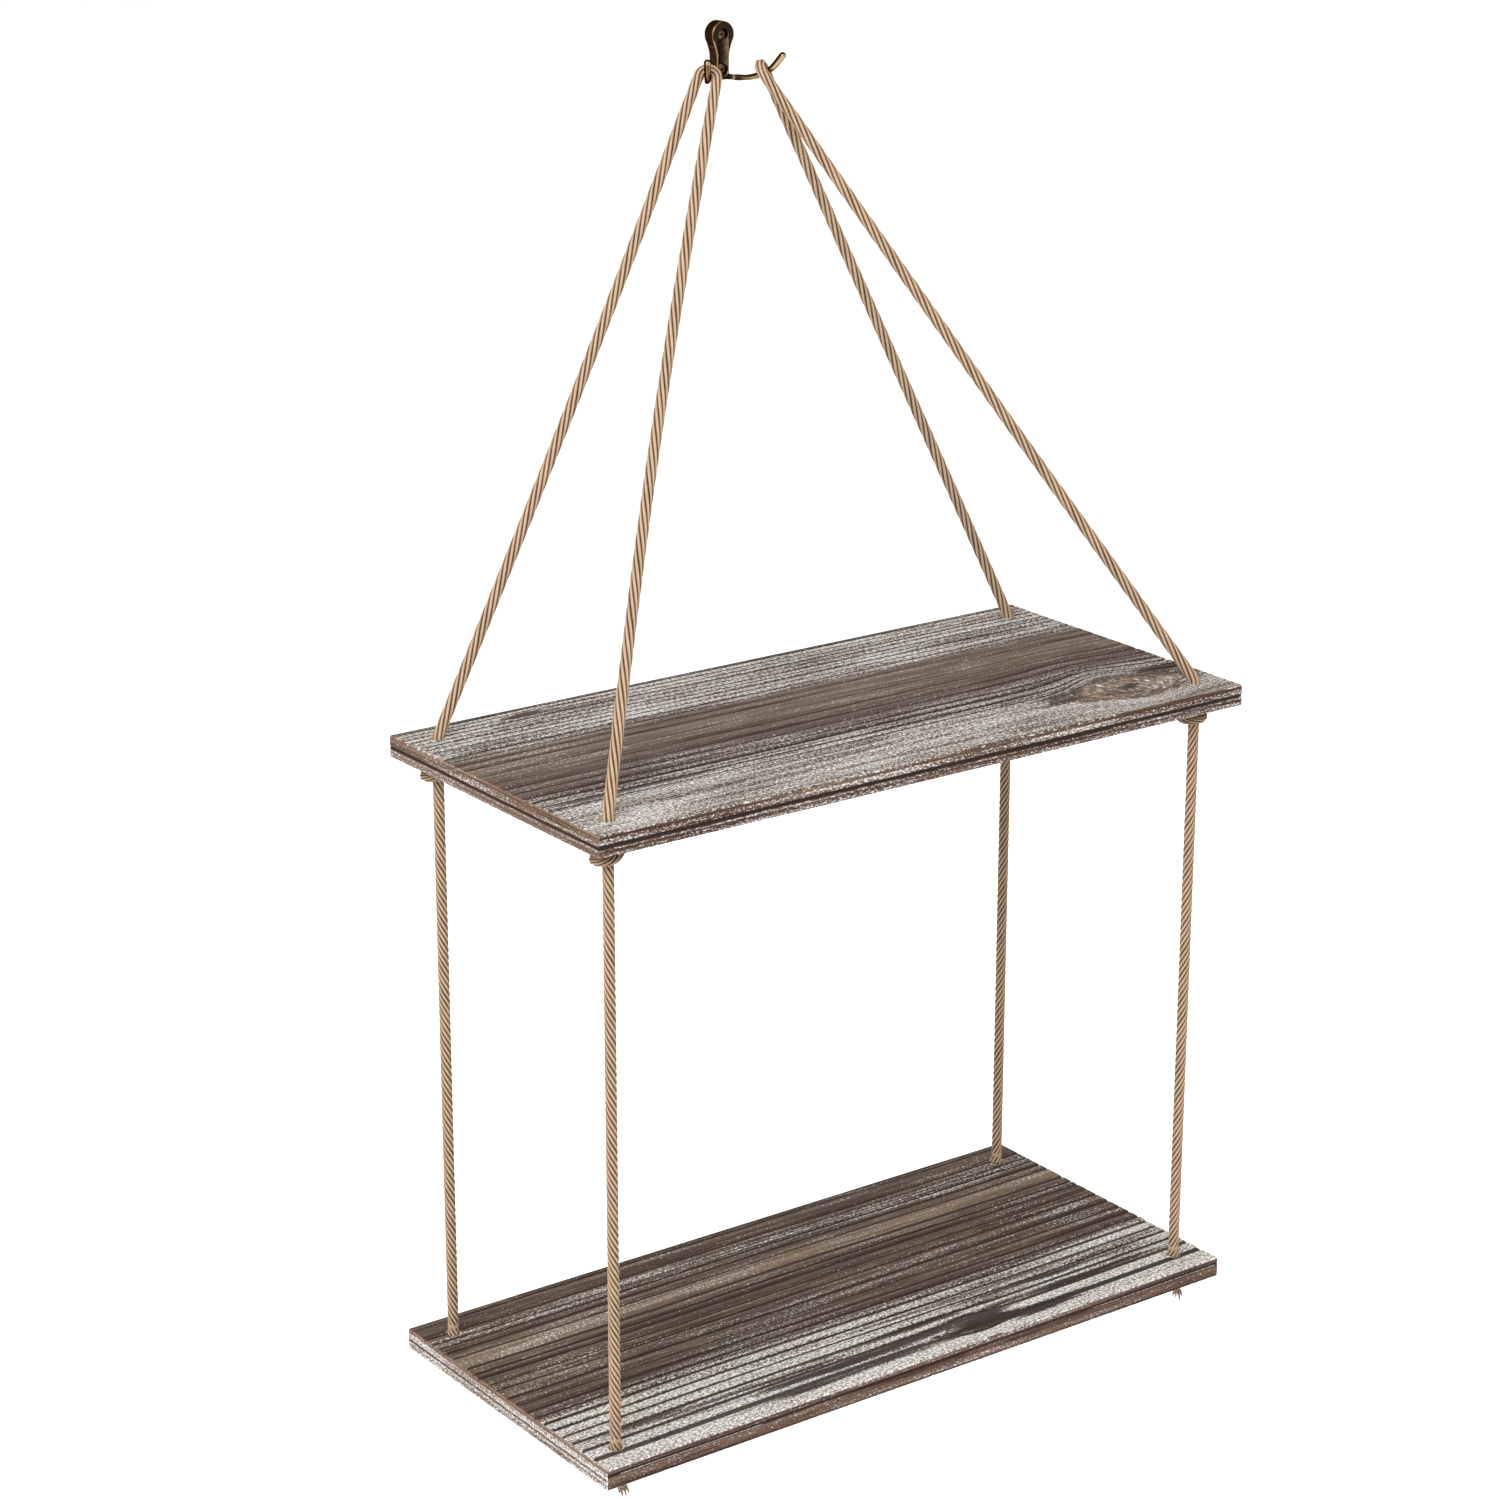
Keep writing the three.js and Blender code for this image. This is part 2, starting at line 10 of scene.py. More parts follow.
import bmesh
import bpy
from bpy.props import FloatProperty, FloatVectorProperty, IntProperty, PointerProperty
from mathutils import Matrix, Vector, noise
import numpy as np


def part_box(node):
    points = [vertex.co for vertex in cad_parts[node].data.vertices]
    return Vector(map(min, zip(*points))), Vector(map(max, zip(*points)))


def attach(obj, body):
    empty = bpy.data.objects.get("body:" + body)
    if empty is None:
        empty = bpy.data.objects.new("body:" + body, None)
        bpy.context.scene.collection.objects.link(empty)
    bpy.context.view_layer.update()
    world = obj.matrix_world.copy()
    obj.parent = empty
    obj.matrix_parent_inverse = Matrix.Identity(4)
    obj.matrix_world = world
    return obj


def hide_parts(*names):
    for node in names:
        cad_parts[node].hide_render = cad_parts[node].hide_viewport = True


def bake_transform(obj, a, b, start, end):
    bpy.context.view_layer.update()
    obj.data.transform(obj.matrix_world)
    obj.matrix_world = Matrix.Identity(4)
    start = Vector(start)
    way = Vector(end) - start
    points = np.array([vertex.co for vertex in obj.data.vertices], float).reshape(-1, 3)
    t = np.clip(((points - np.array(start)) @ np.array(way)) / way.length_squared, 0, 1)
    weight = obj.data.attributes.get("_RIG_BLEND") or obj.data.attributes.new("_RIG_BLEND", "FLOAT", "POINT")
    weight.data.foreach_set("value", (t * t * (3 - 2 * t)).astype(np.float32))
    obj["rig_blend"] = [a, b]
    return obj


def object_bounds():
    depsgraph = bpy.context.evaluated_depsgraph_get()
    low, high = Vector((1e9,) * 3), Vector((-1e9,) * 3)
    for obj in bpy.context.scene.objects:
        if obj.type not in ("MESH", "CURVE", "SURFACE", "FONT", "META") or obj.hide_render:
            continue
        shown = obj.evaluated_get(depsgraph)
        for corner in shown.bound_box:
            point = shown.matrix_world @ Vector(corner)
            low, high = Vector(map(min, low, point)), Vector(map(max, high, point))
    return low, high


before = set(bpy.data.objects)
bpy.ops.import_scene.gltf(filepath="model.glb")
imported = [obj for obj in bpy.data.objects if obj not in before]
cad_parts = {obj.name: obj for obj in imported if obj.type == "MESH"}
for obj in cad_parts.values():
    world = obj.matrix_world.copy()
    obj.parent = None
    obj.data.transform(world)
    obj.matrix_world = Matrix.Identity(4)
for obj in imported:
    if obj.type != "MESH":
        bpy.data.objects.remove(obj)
cad_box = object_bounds()

bl_info = {
    "name": "Hanging Rope Shelf",
    "version": (1, 0, 0),
    "blender": (4, 5, 0),
    "location": "View3D > Sidebar > Rope Shelf",
    "description": "Dresses a hanging shelf with laid cords, whitewashed boards and a bronze hook",
    "category": "Add Mesh",
}

UPPER_LOW, UPPER_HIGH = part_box("board_upper")
LOWER_LOW, LOWER_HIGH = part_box("board_lower")
BOARD_THICKNESS = UPPER_HIGH.z - UPPER_LOW.z
BOARD_DEPTH = UPPER_HIGH.y - UPPER_LOW.y

SIDES = {"left": -1, "right": 1}
ROWS = {"front": -1, "rear": 1}
CORNERS = [(row, side) for side in SIDES for row in ROWS]

# The boards' holes: their places are the solids', their bore is drawn close round the cord
HOLE_DIAMETER = 0.0078
HOLE_EASE = 0.0004
HOLE_X = 0.1967
HOLE_Y = {"front": -0.182, "rear": -0.020}

# The cords' routes, as the solids have them
CORD_RADIUS = 0.003
DRAWN_RADIUS = 0.00315
SADDLE_SQUEEZE = 0.06
SADDLE_LEVELS = (-0.034, -0.014)
KNOT_CORD = 0.005
KNOT_FLAT = 0.8
KNOT_SPREAD = 1.18
KNOT_LEVEL = {"upper": -0.3613, "lower": -0.7113}
KNOT_END = 1.65 * KNOT_CORD * KNOT_FLAT
KNOT_FACING = {
    "upper": {"left": -0.14, "right": -0.25},
    "lower": {"left": 0.54, "right": 0.45},
}
# The upper half of a knot's centre line, in cord diameters
KNOT_HALF = (
    (0.96, 0, 0), (0.92, -0.75, -0.26), (0.46, -1.31, -0.56), (-0.29, -1.39, -0.74), (-0.93, -0.93, -0.75),
    (-1.06, -0.17, -0.64), (-0.69, 0.44, -0.32), (-0.13, 0.49, 0.2), (0, 0.18, 0.93), (0, 0, 1.3), (0, 0, 1.65),
)
# The steps of a cord's hidden rounded end, in cord radii, and the cord's girth after each
TONGUE_STEPS = ((0.01, 0.94), (0.25, 0.9), (0.2, 0.7), (0.3, 0.35))
# The tails' centre line, in shares of their offset and drop
TAIL_ROUTE = ((0, 0.3), (0.72, 0.52), (0.98, 0.74), (1, 1))
TAIL_DROP = 0.0188
TAIL_OFFSET = 0.005
TAIL_STEPS = 18
TAIL_STRAND_RADIUS = 0.00080
TAIL_OPENING = 0.0019
TAIL_SPREAD = 0.0024
TAIL_WAVER = 0.0009
TAIL_TAPER_START = 0.6
TAIL_TWIST = 420
SEAT_GAP = 0.0003
NECK_PIVOT = -0.3712
DROP_TOP_PIVOT = -0.3775
DROP_BOTTOM_PIVOT = -0.6834
FOOT_PIVOT = -0.6897
PIVOT_SPACING = 0.0063
NECK_OVERLAP = 0.0006

# The stage
CAMERA_PLACE = (-1.17535, -1.65075, 0.27349)
CAMERA_TURN = (71.763, 0, -35.976)
CAMERA_LENS = 90.115
LIGHT_PLACES = {"key": (-1.9, -1.5, 1.3), "fill": (1.8, -1.6, 0.5), "back": (0.9, 2.0, 0.1)}
LIGHT_SIZE = 1.6
LIGHT_TARGET = Vector((0, -0.1, -0.35))
FLOOR_HALF = 9
FLOOR_GLOW = 0.75
WALL_PATCH_HALF = 0.017
WALL_PATCH_LEVEL = 0.002

# The hook's plate and screws, as the solids have them
PLATE_FRONT = -0.0075
PLATE_HALF_WIDTH = 0.0072
PLATE_WAIST_LEVEL = 0.0035
PLATE_MARGIN = 0.0006
CHANNEL_HALF_WIDTH = 0.0031
SCREW_LEVEL = 0.0093
SCREW_PROFILE = (
    (0, -0.00625), (0.0007, -0.00622), (0.0013, -0.00612), (0.0019, -0.00590), (0.0024, -0.00560),
    (0.0027, -0.00532), (0.0029, -0.00515), (0.0029, -0.0048), (0.0026, -0.0044), (0.0015, -0.0028),
    (0.0015, 0.0004), (0.00105, 0.0009), (0.00105, 0.0157), (0.0004, 0.0190), (0, 0.0197),
)
CASTING_FACE = 0.0002
PRONG_FILLING = 0.0003
PRONG_FILLED_INSIDE = (0.0072, 0.0092)
PRONG_UNDER_CORD = (0.0105, 0.0125)
PRONG_FILLED_OUTSIDE = (0.0200, 0.0230)
THREAD_PITCH = 0.0014
THREAD_START = 0.0004
THREAD_END = 0.0185
THREAD_STEPS = 20
THREAD_GROWTH_STEPS = 30
THREAD_FIRST_GIRTH = 0.66
THREAD_LAST_GIRTH = 0.25
THREAD_POINT = 0.0038
THREAD_SECTION = ((0.0009, -0.00032), (0.0015, 0.0), (0.0009, 0.00032))
RECESS_HALF_SPAN = 0.0017
RECESS_HALF_SLOT = 0.0004
RECESS_TAPER = ((-0.0068, 1.08), (-0.0060, 1.0), (-0.0050, 0.62), (-0.0046, 0.4))
RECESS_DARK_RADIUS = 0.00165
RECESS_DARK_FLOOR = -0.0040
SCREW_WEAR = 0.7
WELD = 0.000001

# The slings' saddles on the prongs, as the solids have them
PRONG_DIAMETER = 0.0033
PRONG_ROOT = 0.0045
PRONG_LOW = 0.0142
PRONG_SPREAD = 0.0246
PRONG_REACH = 0.0228
PRONG_RISE = 0.0127
# A prong's centre line, in shares of its spread, reach and rise
PRONG_ROUTE = (
    (0, 0, 0.12), (0.2, 0.01, 0.05), (0.37, 0.08, 0), (0.565, 0.33, 0.03), (0.66, 0.48, 0.11),
    (0.76, 0.635, 0.235), (0.84, 0.76, 0.41), (0.9, 0.855, 0.61), (0.95, 0.93, 0.8), (1, 1, 1),
)
SADDLE_SHARE = 0.65
SADDLE_SPAN = 0.02
SADDLE_GAP = 0.0004
SLING_BEND = 0.008
SLING_RIM_RISE = 0.0016
# How far each leg of a sling bows out towards the wall
LEG_BOWS = {
    "front": {"left": 0.007, "right": 0.0025},
    "rear": {"left": -0.0025, "right": 0},
}

# How finely shapes are drawn: steps in metres, or counts
CURVE_SPLIT = 20
PRONG_STEP = 0.0001
SLING_STEP = 0.0016
DROP_STEP = 0.0015
KNOT_STEP = 0.0009
TAIL_STEP = 0.0006
WRAP_STEPS = 16
BEND_STEPS = 8
LEG_STEPS = 24
ROUND_SIDES = 40
TAIL_SIDES = 12
SMOOTH_CORD = math.radians(60)
SMOOTH_BOARD = math.radians(40)
SMOOTH_SCREW = math.radians(35)


# ---------------------------------------------------------------- settings


class CordSettings(bpy.types.PropertyGroup):
    """Make and colours of the laid cord."""

    strands: IntProperty(
        name="Strands", description="Strands laid together into the cord", default=7, min=3
    )
    strand_sides: IntProperty(
        name="Strand Sides", description="Faces across the open side of one strand", default=8, min=4
    )
    groove: FloatProperty(
        name="Groove", description="Depth of the groove between two strands",
        default=0.0010, unit="LENGTH", precision=4,
    )
    drop_lead: FloatProperty(
        name="Drop Lead", description="Length in which a strand goes once round a drop",
        default=0.030, unit="LENGTH", precision=4,
    )
    sling_lead: FloatProperty(
        name="Sling Lead", description="Length in which a strand goes once round a sling",
        default=0.070, unit="LENGTH", precision=4,
    )
    knot_lead: FloatProperty(
        name="Knot Lead", description="Length in which a strand goes once round inside a knot",
        default=0.028, unit="LENGTH", precision=4,
    )
    straw: FloatVectorProperty(
        name="Straw", description="Colour of the crowns of the strands",
        default=(0.665, 0.468, 0.302), subtype="COLOR", min=0, max=1,
    )
    # shade is painted shade: the colour the grooves between the strands are darkened to
    shade: FloatVectorProperty(
        name="Shade", description="Colour deep between the strands",
        default=(0.085, 0.043, 0.020), subtype="COLOR", min=0, max=1,
    )


class BoardSettings(bpy.types.PropertyGroup):
    """Grain and colours of the boards."""

    line_depth: FloatProperty(
        name="Line Depth", description="Depth of the deepest burnt grain lines",
        default=0.0006, unit="LENGTH", precision=4,
    )
    wander: FloatProperty(
        name="Wander", description="How far a grain line wanders from straight",
        default=0.0022, unit="LENGTH", precision=4,
    )
    paint: FloatVectorProperty(
        name="Paint", description="Colour of the worn whitewash",
        default=(0.880, 0.880, 0.860), subtype="COLOR", min=0, max=1,
    )
    bare: FloatVectorProperty(
        name="Bare Wood", description="Colour of the palest bare wood",
        default=(0.300, 0.216, 0.148), subtype="COLOR", min=0, max=1,
    )
    torched: FloatVectorProperty(
        name="Torched Wood", description="Colour of the darker torched wood",
        default=(0.052, 0.027, 0.015), subtype="COLOR", min=0, max=1,
    )
    burnt: FloatVectorProperty(
        name="Burnt Line", description="Colour of the burnt grain lines",
        default=(0.022, 0.013, 0.010), subtype="COLOR", min=0, max=1,
    )
    edge_bare: FloatVectorProperty(
        name="Bare Edge", description="Colour of the redder bare wood along the sawn edges",
        default=(0.320, 0.205, 0.145), subtype="COLOR", min=0, max=1,
    )
    edge_torched: FloatVectorProperty(
        name="Torched Edge", description="Colour of the redder torched wood along the sawn edges",
        default=(0.062, 0.031, 0.020), subtype="COLOR", min=0, max=1,
    )


class HookSettings(bpy.types.PropertyGroup):
    """Finish of the hook and its screws."""

    bronze: FloatVectorProperty(
        name="Bronze", description="Colour of the dark antique bronze",
        default=(0.026, 0.016, 0.009), subtype="COLOR", min=0, max=1,
    )
    # this colour serves both where the finish is worn through and for the painted highlights on the hook
    rubbed_and_highlight: FloatVectorProperty(
        name="Rubbed Bronze", description="Colour where the dark finish is rubbed through",
        default=(0.460, 0.310, 0.160), subtype="COLOR", min=0, max=1,
    )
    brass: FloatVectorProperty(
        name="Screw Brass", description="Colour of the aged screw heads",
        default=(0.210, 0.135, 0.065), subtype="COLOR", min=0, max=1,
    )


class StageSettings(bpy.types.PropertyGroup):
    """Floor, light and camera."""

    floor_drop: FloatProperty(
        name="Floor Drop", description="Height of the shelf's lowest point above the floor",
        default=0.45, unit="LENGTH",
    )
    floor_colour: FloatVectorProperty(
        name="Floor", description="Colour of the plain floor",
        default=(0.9, 0.9, 0.9), subtype="COLOR", min=0, max=1,
    )
    key_power: FloatProperty(
        name="Key Light", description="Power of the large light over the left shoulder",
        default=62.0, unit="POWER",
    )
    fill_power: FloatProperty(
        name="Fill Light", description="Power of the light from the right",
        default=5.0, unit="POWER",
    )
    back_power: FloatProperty(
        name="Back Light", description="Power of the light behind the shelf",
        default=16.0, unit="POWER",
    )
    sky: FloatProperty(
        name="Sky", description="Strength of the even light from all round", default=0.50
    )


class ShelfSettings(bpy.types.PropertyGroup):
    """All settings of the shelf."""

    cord: PointerProperty(type=CordSettings)
    board: PointerProperty(type=BoardSettings)
    hook: PointerProperty(type=HookSettings)
    stage: PointerProperty(type=StageSettings)


# ---------------------------------------------------------------- node helpers


class Signal:
    """An output of a shader node, which takes part in sums as a number does."""

    def __init__(self, socket):
        self.socket = socket

    def __getitem__(self, key):
        """Another output of the same node."""
        return Signal(self.socket.node.outputs[key])

    def math(self, operation, *others):
        return add_node(self.socket.id_data, "Math", dict(enumerate((self, *others))), operation=operation)

    def __add__(self, other):
        return self.math("ADD", other)

    def __sub__(self, other):
        return self.math("SUBTRACT", other)

    def __mul__(self, other):
        return self.math("MULTIPLY", other)

    def scaled(self, factor, offset):
        return self.math("MULTIPLY_ADD", factor, offset)

    def clamped(self):
        """The same value kept from 0 to 1."""
        self.socket.node.use_clamp = True
        return self

    def soft_step(self, low, high, to_low=0.0, to_high=1.0):
        values = {"Value": self, "From Min": low, "From Max": high, "To Min": to_low, "To Max": to_high}
        return add_node(self.socket.id_data, "MapRange", values, interpolation_type="SMOOTHSTEP")

    def blend(self, first, second):
        """The first signal where this one is 0 and the second where it is 1."""
        return add_node(self.socket.id_data, "Mix", {0: self, 2: first, 3: second})

    def blend_colours(self, first, second):
        """The first colour where this signal is 0 and the second where it is 1."""
        return add_node(self.socket.id_data, "Mix", {0: self, 6: first, 7: second}, data_type="RGBA")[2]


def feed(socket, value):
    """Links a socket to the signal that feeds it, or sets its value."""
    if isinstance(value, Signal):
        socket.id_data.links.new(value.socket, socket)
    elif socket.type == "RGBA" and len(value) == 3:
        socket.default_value = (*value, 1)
    else:
        socket.default_value = value


def add_node(tree, kind, inputs=None, **settings):
    """The first output of a new node, each of the node's inputs given as a value or a signal."""
    made = tree.nodes.new(f"ShaderNode{kind}")
    for name, value in settings.items():
        setattr(made, name, value)
    for name, value in (inputs or {}).items():
        feed(made.inputs[name], value)
    return Signal(made.outputs[0])


def object_place(tree):
    return add_node(tree, "TexCoord")["Object"]


def stretched_noise(tree, vector, scale, detail=2.0, roughness=0.5):
    """Noise whose grain is stretched by a scale for each axis."""
    moved = add_node(tree, "Mapping", {"Vector": vector, "Scale": scale})
    inputs = {"Vector": moved, "Scale": 1.0, "Detail": detail, "Roughness": roughness}
    return add_node(tree, "TexNoise", inputs)


SOCKET_KINDS = {"VALUE": "NodeSocketFloat", "VECTOR": "NodeSocketVector", "RGBA": "NodeSocketColor"}


def open_group(name, inputs):
    """An empty shader group with its named inputs: a number, three numbers for a vector or four for a colour."""
    group = bpy.data.node_groups.new(name, "ShaderNodeTree")
    for label, value in inputs.items():
        kind = {1: "VALUE", 3: "VECTOR", 4: "RGBA"}[len(value) if isinstance(value, tuple) else 1]
        socket = group.interface.new_socket(label, in_out="INPUT", socket_type=SOCKET_KINDS[kind])
        socket.default_value = value
    return group, Signal(group.nodes.new("NodeGroupInput").outputs[0])


def close_group(group, outputs):
    """Gives a shader group its named outputs."""
    for label, signal in outputs.items():
        group.interface.new_socket(label, in_out="OUTPUT", socket_type=SOCKET_KINDS[signal.socket.type])
    end = group.nodes.new("NodeGroupOutput")
    for label, signal in outputs.items():
        feed(end.inputs[label], signal)
    return group


def place_group(tree, name, maker, inputs):
    """A shared node group in a material's tree. The group is made once."""
    made = tree.nodes.new("ShaderNodeGroup")
    made.node_tree = bpy.data.node_groups.get(name) or maker(name)
    for label, value in inputs.items():
        feed(made.inputs[label], value)
    return Signal(made.outputs[0])


def new_material(name, **values):
    """A material with one Principled shader, the shader's values set by their names."""
    material = bpy.data.materials.new(name)
    material.use_nodes = True
    shader = material.node_tree.nodes["Principled BSDF"]
    for label, value in values.items():
        feed(shader.inputs[label.replace("_", " ")], value)
    return material, material.node_tree, shader


def finish_shader(tree, shader, looks, strength, distance):
    """Feeds a group's colour, roughness and relief to a shader."""
    feed(shader.inputs["Base Color"], looks["Color"])
    feed(shader.inputs["Roughness"], looks["Roughness"])
    add_bump(tree, shader, looks["Height"], strength, distance)


def add_bump(tree, shader, height, strength, distance):
    inputs = {"Height": height, "Strength": strength, "Distance": distance}
    feed(shader.inputs["Normal"], add_node(tree, "Bump", inputs))


# ---------------------------------------------------------------- shared mesh helpers


def mesh_object(bm, name, materials):
    """Turns a bmesh into an object at the origin."""
    mesh = bpy.data.meshes.new(name)
    bm.to_mesh(mesh)
    bm.free()
    for material in materials:
        mesh.materials.append(material)
    obj = bpy.data.objects.new(name, mesh)
    bpy.context.scene.collection.objects.link(obj)
    return obj


def finish_mesh(bm, name, materials, smooth_angle=None):
    """Turns a closed bmesh into an object at the origin, facing outwards."""
    bmesh.ops.recalc_face_normals(bm, faces=bm.faces)
    obj = mesh_object(bm, name, materials)
    if smooth_angle is not None:
        obj.data.shade_smooth()
        obj.data.set_sharp_from_angle(angle=smooth_angle)
    return obj


def copied_mesh(obj):
    """A bmesh with what an object's mesh holds."""
    bm = bmesh.new()
    bm.from_mesh(obj.data)
    return bm


def ring_of(verts):
    """The edges that join the verts of one closed ring."""
    inside = set(verts)
    return [edge for edge in {e for v in verts for e in v.link_edges} if set(edge.verts) <= inside]


def sweep(bm, ring, placements, along=None, lengths=None):
    """Extrudes a ring of verts from placement to placement and closes both ends."""
    edges = ring_of(ring)
    bmesh.ops.contextual_create(bm, geom=edges)
    bmesh.ops.transform(bm, matrix=placements[0], verts=ring)
    for number, (before, after) in enumerate(pairwise(placements)):
        made = bmesh.ops.extrude_edge_only(bm, edges=edges)["geom"]
        ring = [part for part in made if isinstance(part, bmesh.types.BMVert)]
        edges = ring_of(ring)
        bmesh.ops.transform(bm, matrix=after @ before.inverted(), verts=ring)
        if along is not None:
            for vert in ring:
                vert[along] = lengths[number + 1]
    bmesh.ops.contextual_create(bm, geom=edges)


# ---------------------------------------------------------------- routes


def hole_place(row, side_name, level):
    """A point on the axis of the holes at one corner."""
    return Vector((SIDES[side_name] * HOLE_X, HOLE_Y[row], level))


def lengths_along(points):
    """How far along a line each of its points lies."""
    return list(accumulate(((after - before).length for before, after in pairwise(points)), initial=0.0))


def smooth_route(points, step):
    """A centripetal curve through the points, in steps of about equal length."""
    points = [Vector(p) for p in points]
    padded = [2 * points[0] - points[1], *points, 2 * points[-1] - points[-2]]
    fine = [points[0]]
    for p0, p1, p2, p3 in zip(padded, padded[1:], padded[2:], padded[3:]):
        t1 = (p1 - p0).length ** 0.5
        t2 = t1 + (p2 - p1).length ** 0.5
        t3 = t2 + (p3 - p2).length ** 0.5
        for number in range(1, CURVE_SPLIT + 1):
            t = t1 + (t2 - t1) * number / CURVE_SPLIT
            a1, a2 = p0.lerp(p1, t / t1), p1.lerp(p2, (t - t1) / (t2 - t1))
            a3 = p2.lerp(p3, (t - t2) / (t3 - t2))
            b1, b2 = a1.lerp(a2, t / t2), a2.lerp(a3, (t - t1) / (t3 - t1))
            fine.append(b1.lerp(b2, (t - t1) / (t2 - t1)))
    return even_route(fine, step)


def even_route(points, step):
    """The same line in steps of equal length."""
    lengths = lengths_along(points)
    count = max(round(lengths[-1] / step), 1)
    made, index = [], 0
    for number in range(count + 1):
        target = lengths[-1] * number / count
        while index < len(points) - 2 and lengths[index + 1] < target:
            index += 1
        span = lengths[index + 1] - lengths[index]
        made.append(points[index].lerp(points[index + 1], (target - lengths[index]) / span))
    return made


def placements_along(route, twist, start_twist, scales):
    """A placement at each point of a route, turned about it as the twist says, and the lengths so far.

    The section stays upright to the route without turning, apart from the twist.
    """
    lengths, last = lengths_along(route), len(route) - 1
    headings = [(route[min(index + 1, last)] - route[max(index - 1, 0)]).normalized() for index in range(last + 1)]
    side = headings[0].orthogonal().normalized()
    if abs(headings[0].z) > 0.99:
        side = (Vector((1, 0, 0)) - headings[0] * headings[0].x).normalized()
    placements = []
    for index, (point, heading, scale) in enumerate(zip(route, headings, scales)):
        if index:
            side = headings[index - 1].rotation_difference(heading) @ side
            side = (side - heading * side.dot(heading)).normalized()
        basis = Matrix((side, heading.cross(side), heading)).transposed().to_4x4()
        turn = Matrix.Rotation(start_twist + twist(lengths[index]), 4, "Z")
        placements.append(Matrix.Translation(point) @ basis @ turn @ Matrix.Diagonal((scale, scale, 1, 1)))
    return placements, lengths


def prong_point(side, share):
    """A point of the prong's centre line at a share of its length."""
    points = [
        (side * spread * PRONG_SPREAD, -PRONG_ROOT - reach * PRONG_REACH, -PRONG_LOW + rise * PRONG_RISE)
        for spread, reach, rise in PRONG_ROUTE
    ]
    route = smooth_route(points, PRONG_STEP)
    return route[round(share * (len(route) - 1))]


def wrap_points(side_name):
    """The half turn of a sling over its prong, from the rear leg to the front leg."""
    side = SIDES[side_name]
    centre = prong_point(side, SADDLE_SHARE)
    ahead, behind = (prong_point(side, SADDLE_SHARE + span) for span in (SADDLE_SPAN, -SADDLE_SPAN))
    along = (ahead - behind).normalized()
    up = (Vector((0, 0, 1)) - along * along.z).normalized()
    across = along.cross(up) * -side
    radius = PRONG_DIAMETER / 2 + SADDLE_GAP + CORD_RADIUS
    rear, front = ((hole_place(row, side_name, UPPER_HIGH.z) - centre).normalized() for row in ("rear", "front"))

    def lean(leg):
        return math.atan2(leg.dot(across), -leg.dot(up))

    def slope(leg):
        return leg.dot(along) / math.hypot(leg.dot(across), leg.dot(up))

    start = lean(rear)
    turn = math.pi + lean(front) - start

    def drift(share):
        return radius * turn * share * (-slope(rear) + (slope(front) + slope(rear)) * share / 2)

    points = []
    for number in range(WRAP_STEPS + 1):
        share = number / WRAP_STEPS
        angle = start + turn * share
        sideways = across * radius * math.cos(angle) + along * (drift(share) - drift(1) / 2)
        points.append(centre + sideways + up * radius * math.sin(angle))
    return points


def leg_points(side_name, row, meeting):
    """One leg of a sling, from inside its hole up to where it meets the prong."""
    bottom = hole_place(row, side_name, KNOT_LEVEL["upper"] + KNOT_END + SEAT_GAP)
    mouth = hole_place(row, side_name, UPPER_HIGH.z)
    lean = Vector((0, 0, 1)).angle(meeting - mouth)
    room = HOLE_DIAMETER / 2 + HOLE_EASE - CORD_RADIUS / math.cos(lean)
    corner = mouth + Vector((0, 0, SLING_RIM_RISE - room / math.tan(lean)))
    setback = SLING_BEND / math.tan((bottom - corner).angle(meeting - corner) / 2)
    start = corner + (bottom - corner).normalized() * setback
    end = corner + (meeting - corner).normalized() * setback
    points = [bottom]
    for number in range(BEND_STEPS + 1):
        share = number / BEND_STEPS
        points.append(start.lerp(corner, share).lerp(corner.lerp(end, share), share))
    for number in range(1, LEG_STEPS + 1):
        point = end.lerp(meeting, number / LEG_STEPS)
        point.y += LEG_BOWS[row][side_name] * math.sin(math.pi * number / LEG_STEPS)
        points.append(point)
    return points


def sling_route(side_name):
    """A whole sling, from the rear hole over the prong to the front hole."""
    wrap = wrap_points(side_name)
    rear, front = leg_points(side_name, "rear", wrap[0]), leg_points(side_name, "front", wrap[-1])
    return even_route([*rear, *wrap[1:-1], *reversed(front)], SLING_STEP)


def knot_points(side):
    """An overhand knot's centre line, from its lower end to its upper end, in cord diameters."""
    upper = [Vector((-side * x, y, z)) * KNOT_CORD for x, y, z in KNOT_HALF]
    lower = [Vector((p.x, -p.y, -p.z)) for p in reversed(upper[1:])]
    return lower + upper


# ---------------------------------------------------------------- cords


def strand_outline(vert, settings, radius):
    """Moves one vert of a round section onto the outline of the laid strands.

    Gives the vert's share of the way round and how far up its strand's crown it is.
    """
    turn = (math.atan2(vert.co.y, vert.co.x) / (2 * math.pi)) % 1
    place = turn * settings.strands
    offset = (place - round(place)) * 2 * math.pi / settings.strands
    widest = math.pi / settings.strands
    low = radius - settings.groove * radius / CORD_RADIUS
    # centre and radius of the strand whose arc meets both the crown and the groove
    centre = (radius**2 - low**2) / (2 * (radius - low * math.cos(widest)))
    strand = radius - centre
    reach = centre * math.cos(offset) + math.sqrt(strand**2 - (centre * math.sin(offset)) ** 2)
    angle = turn * 2 * math.pi
    vert.co.x, vert.co.y = reach * math.cos(angle), reach * math.sin(angle)
    return turn, 1 - abs(offset) / widest


def cord_layers(bm):
    """Layers for each vert's share of the way round, how far up its strand's crown it is, and its length."""
    return [bm.verts.layers.float.new(label) for label in ("around", "crown", "along")]


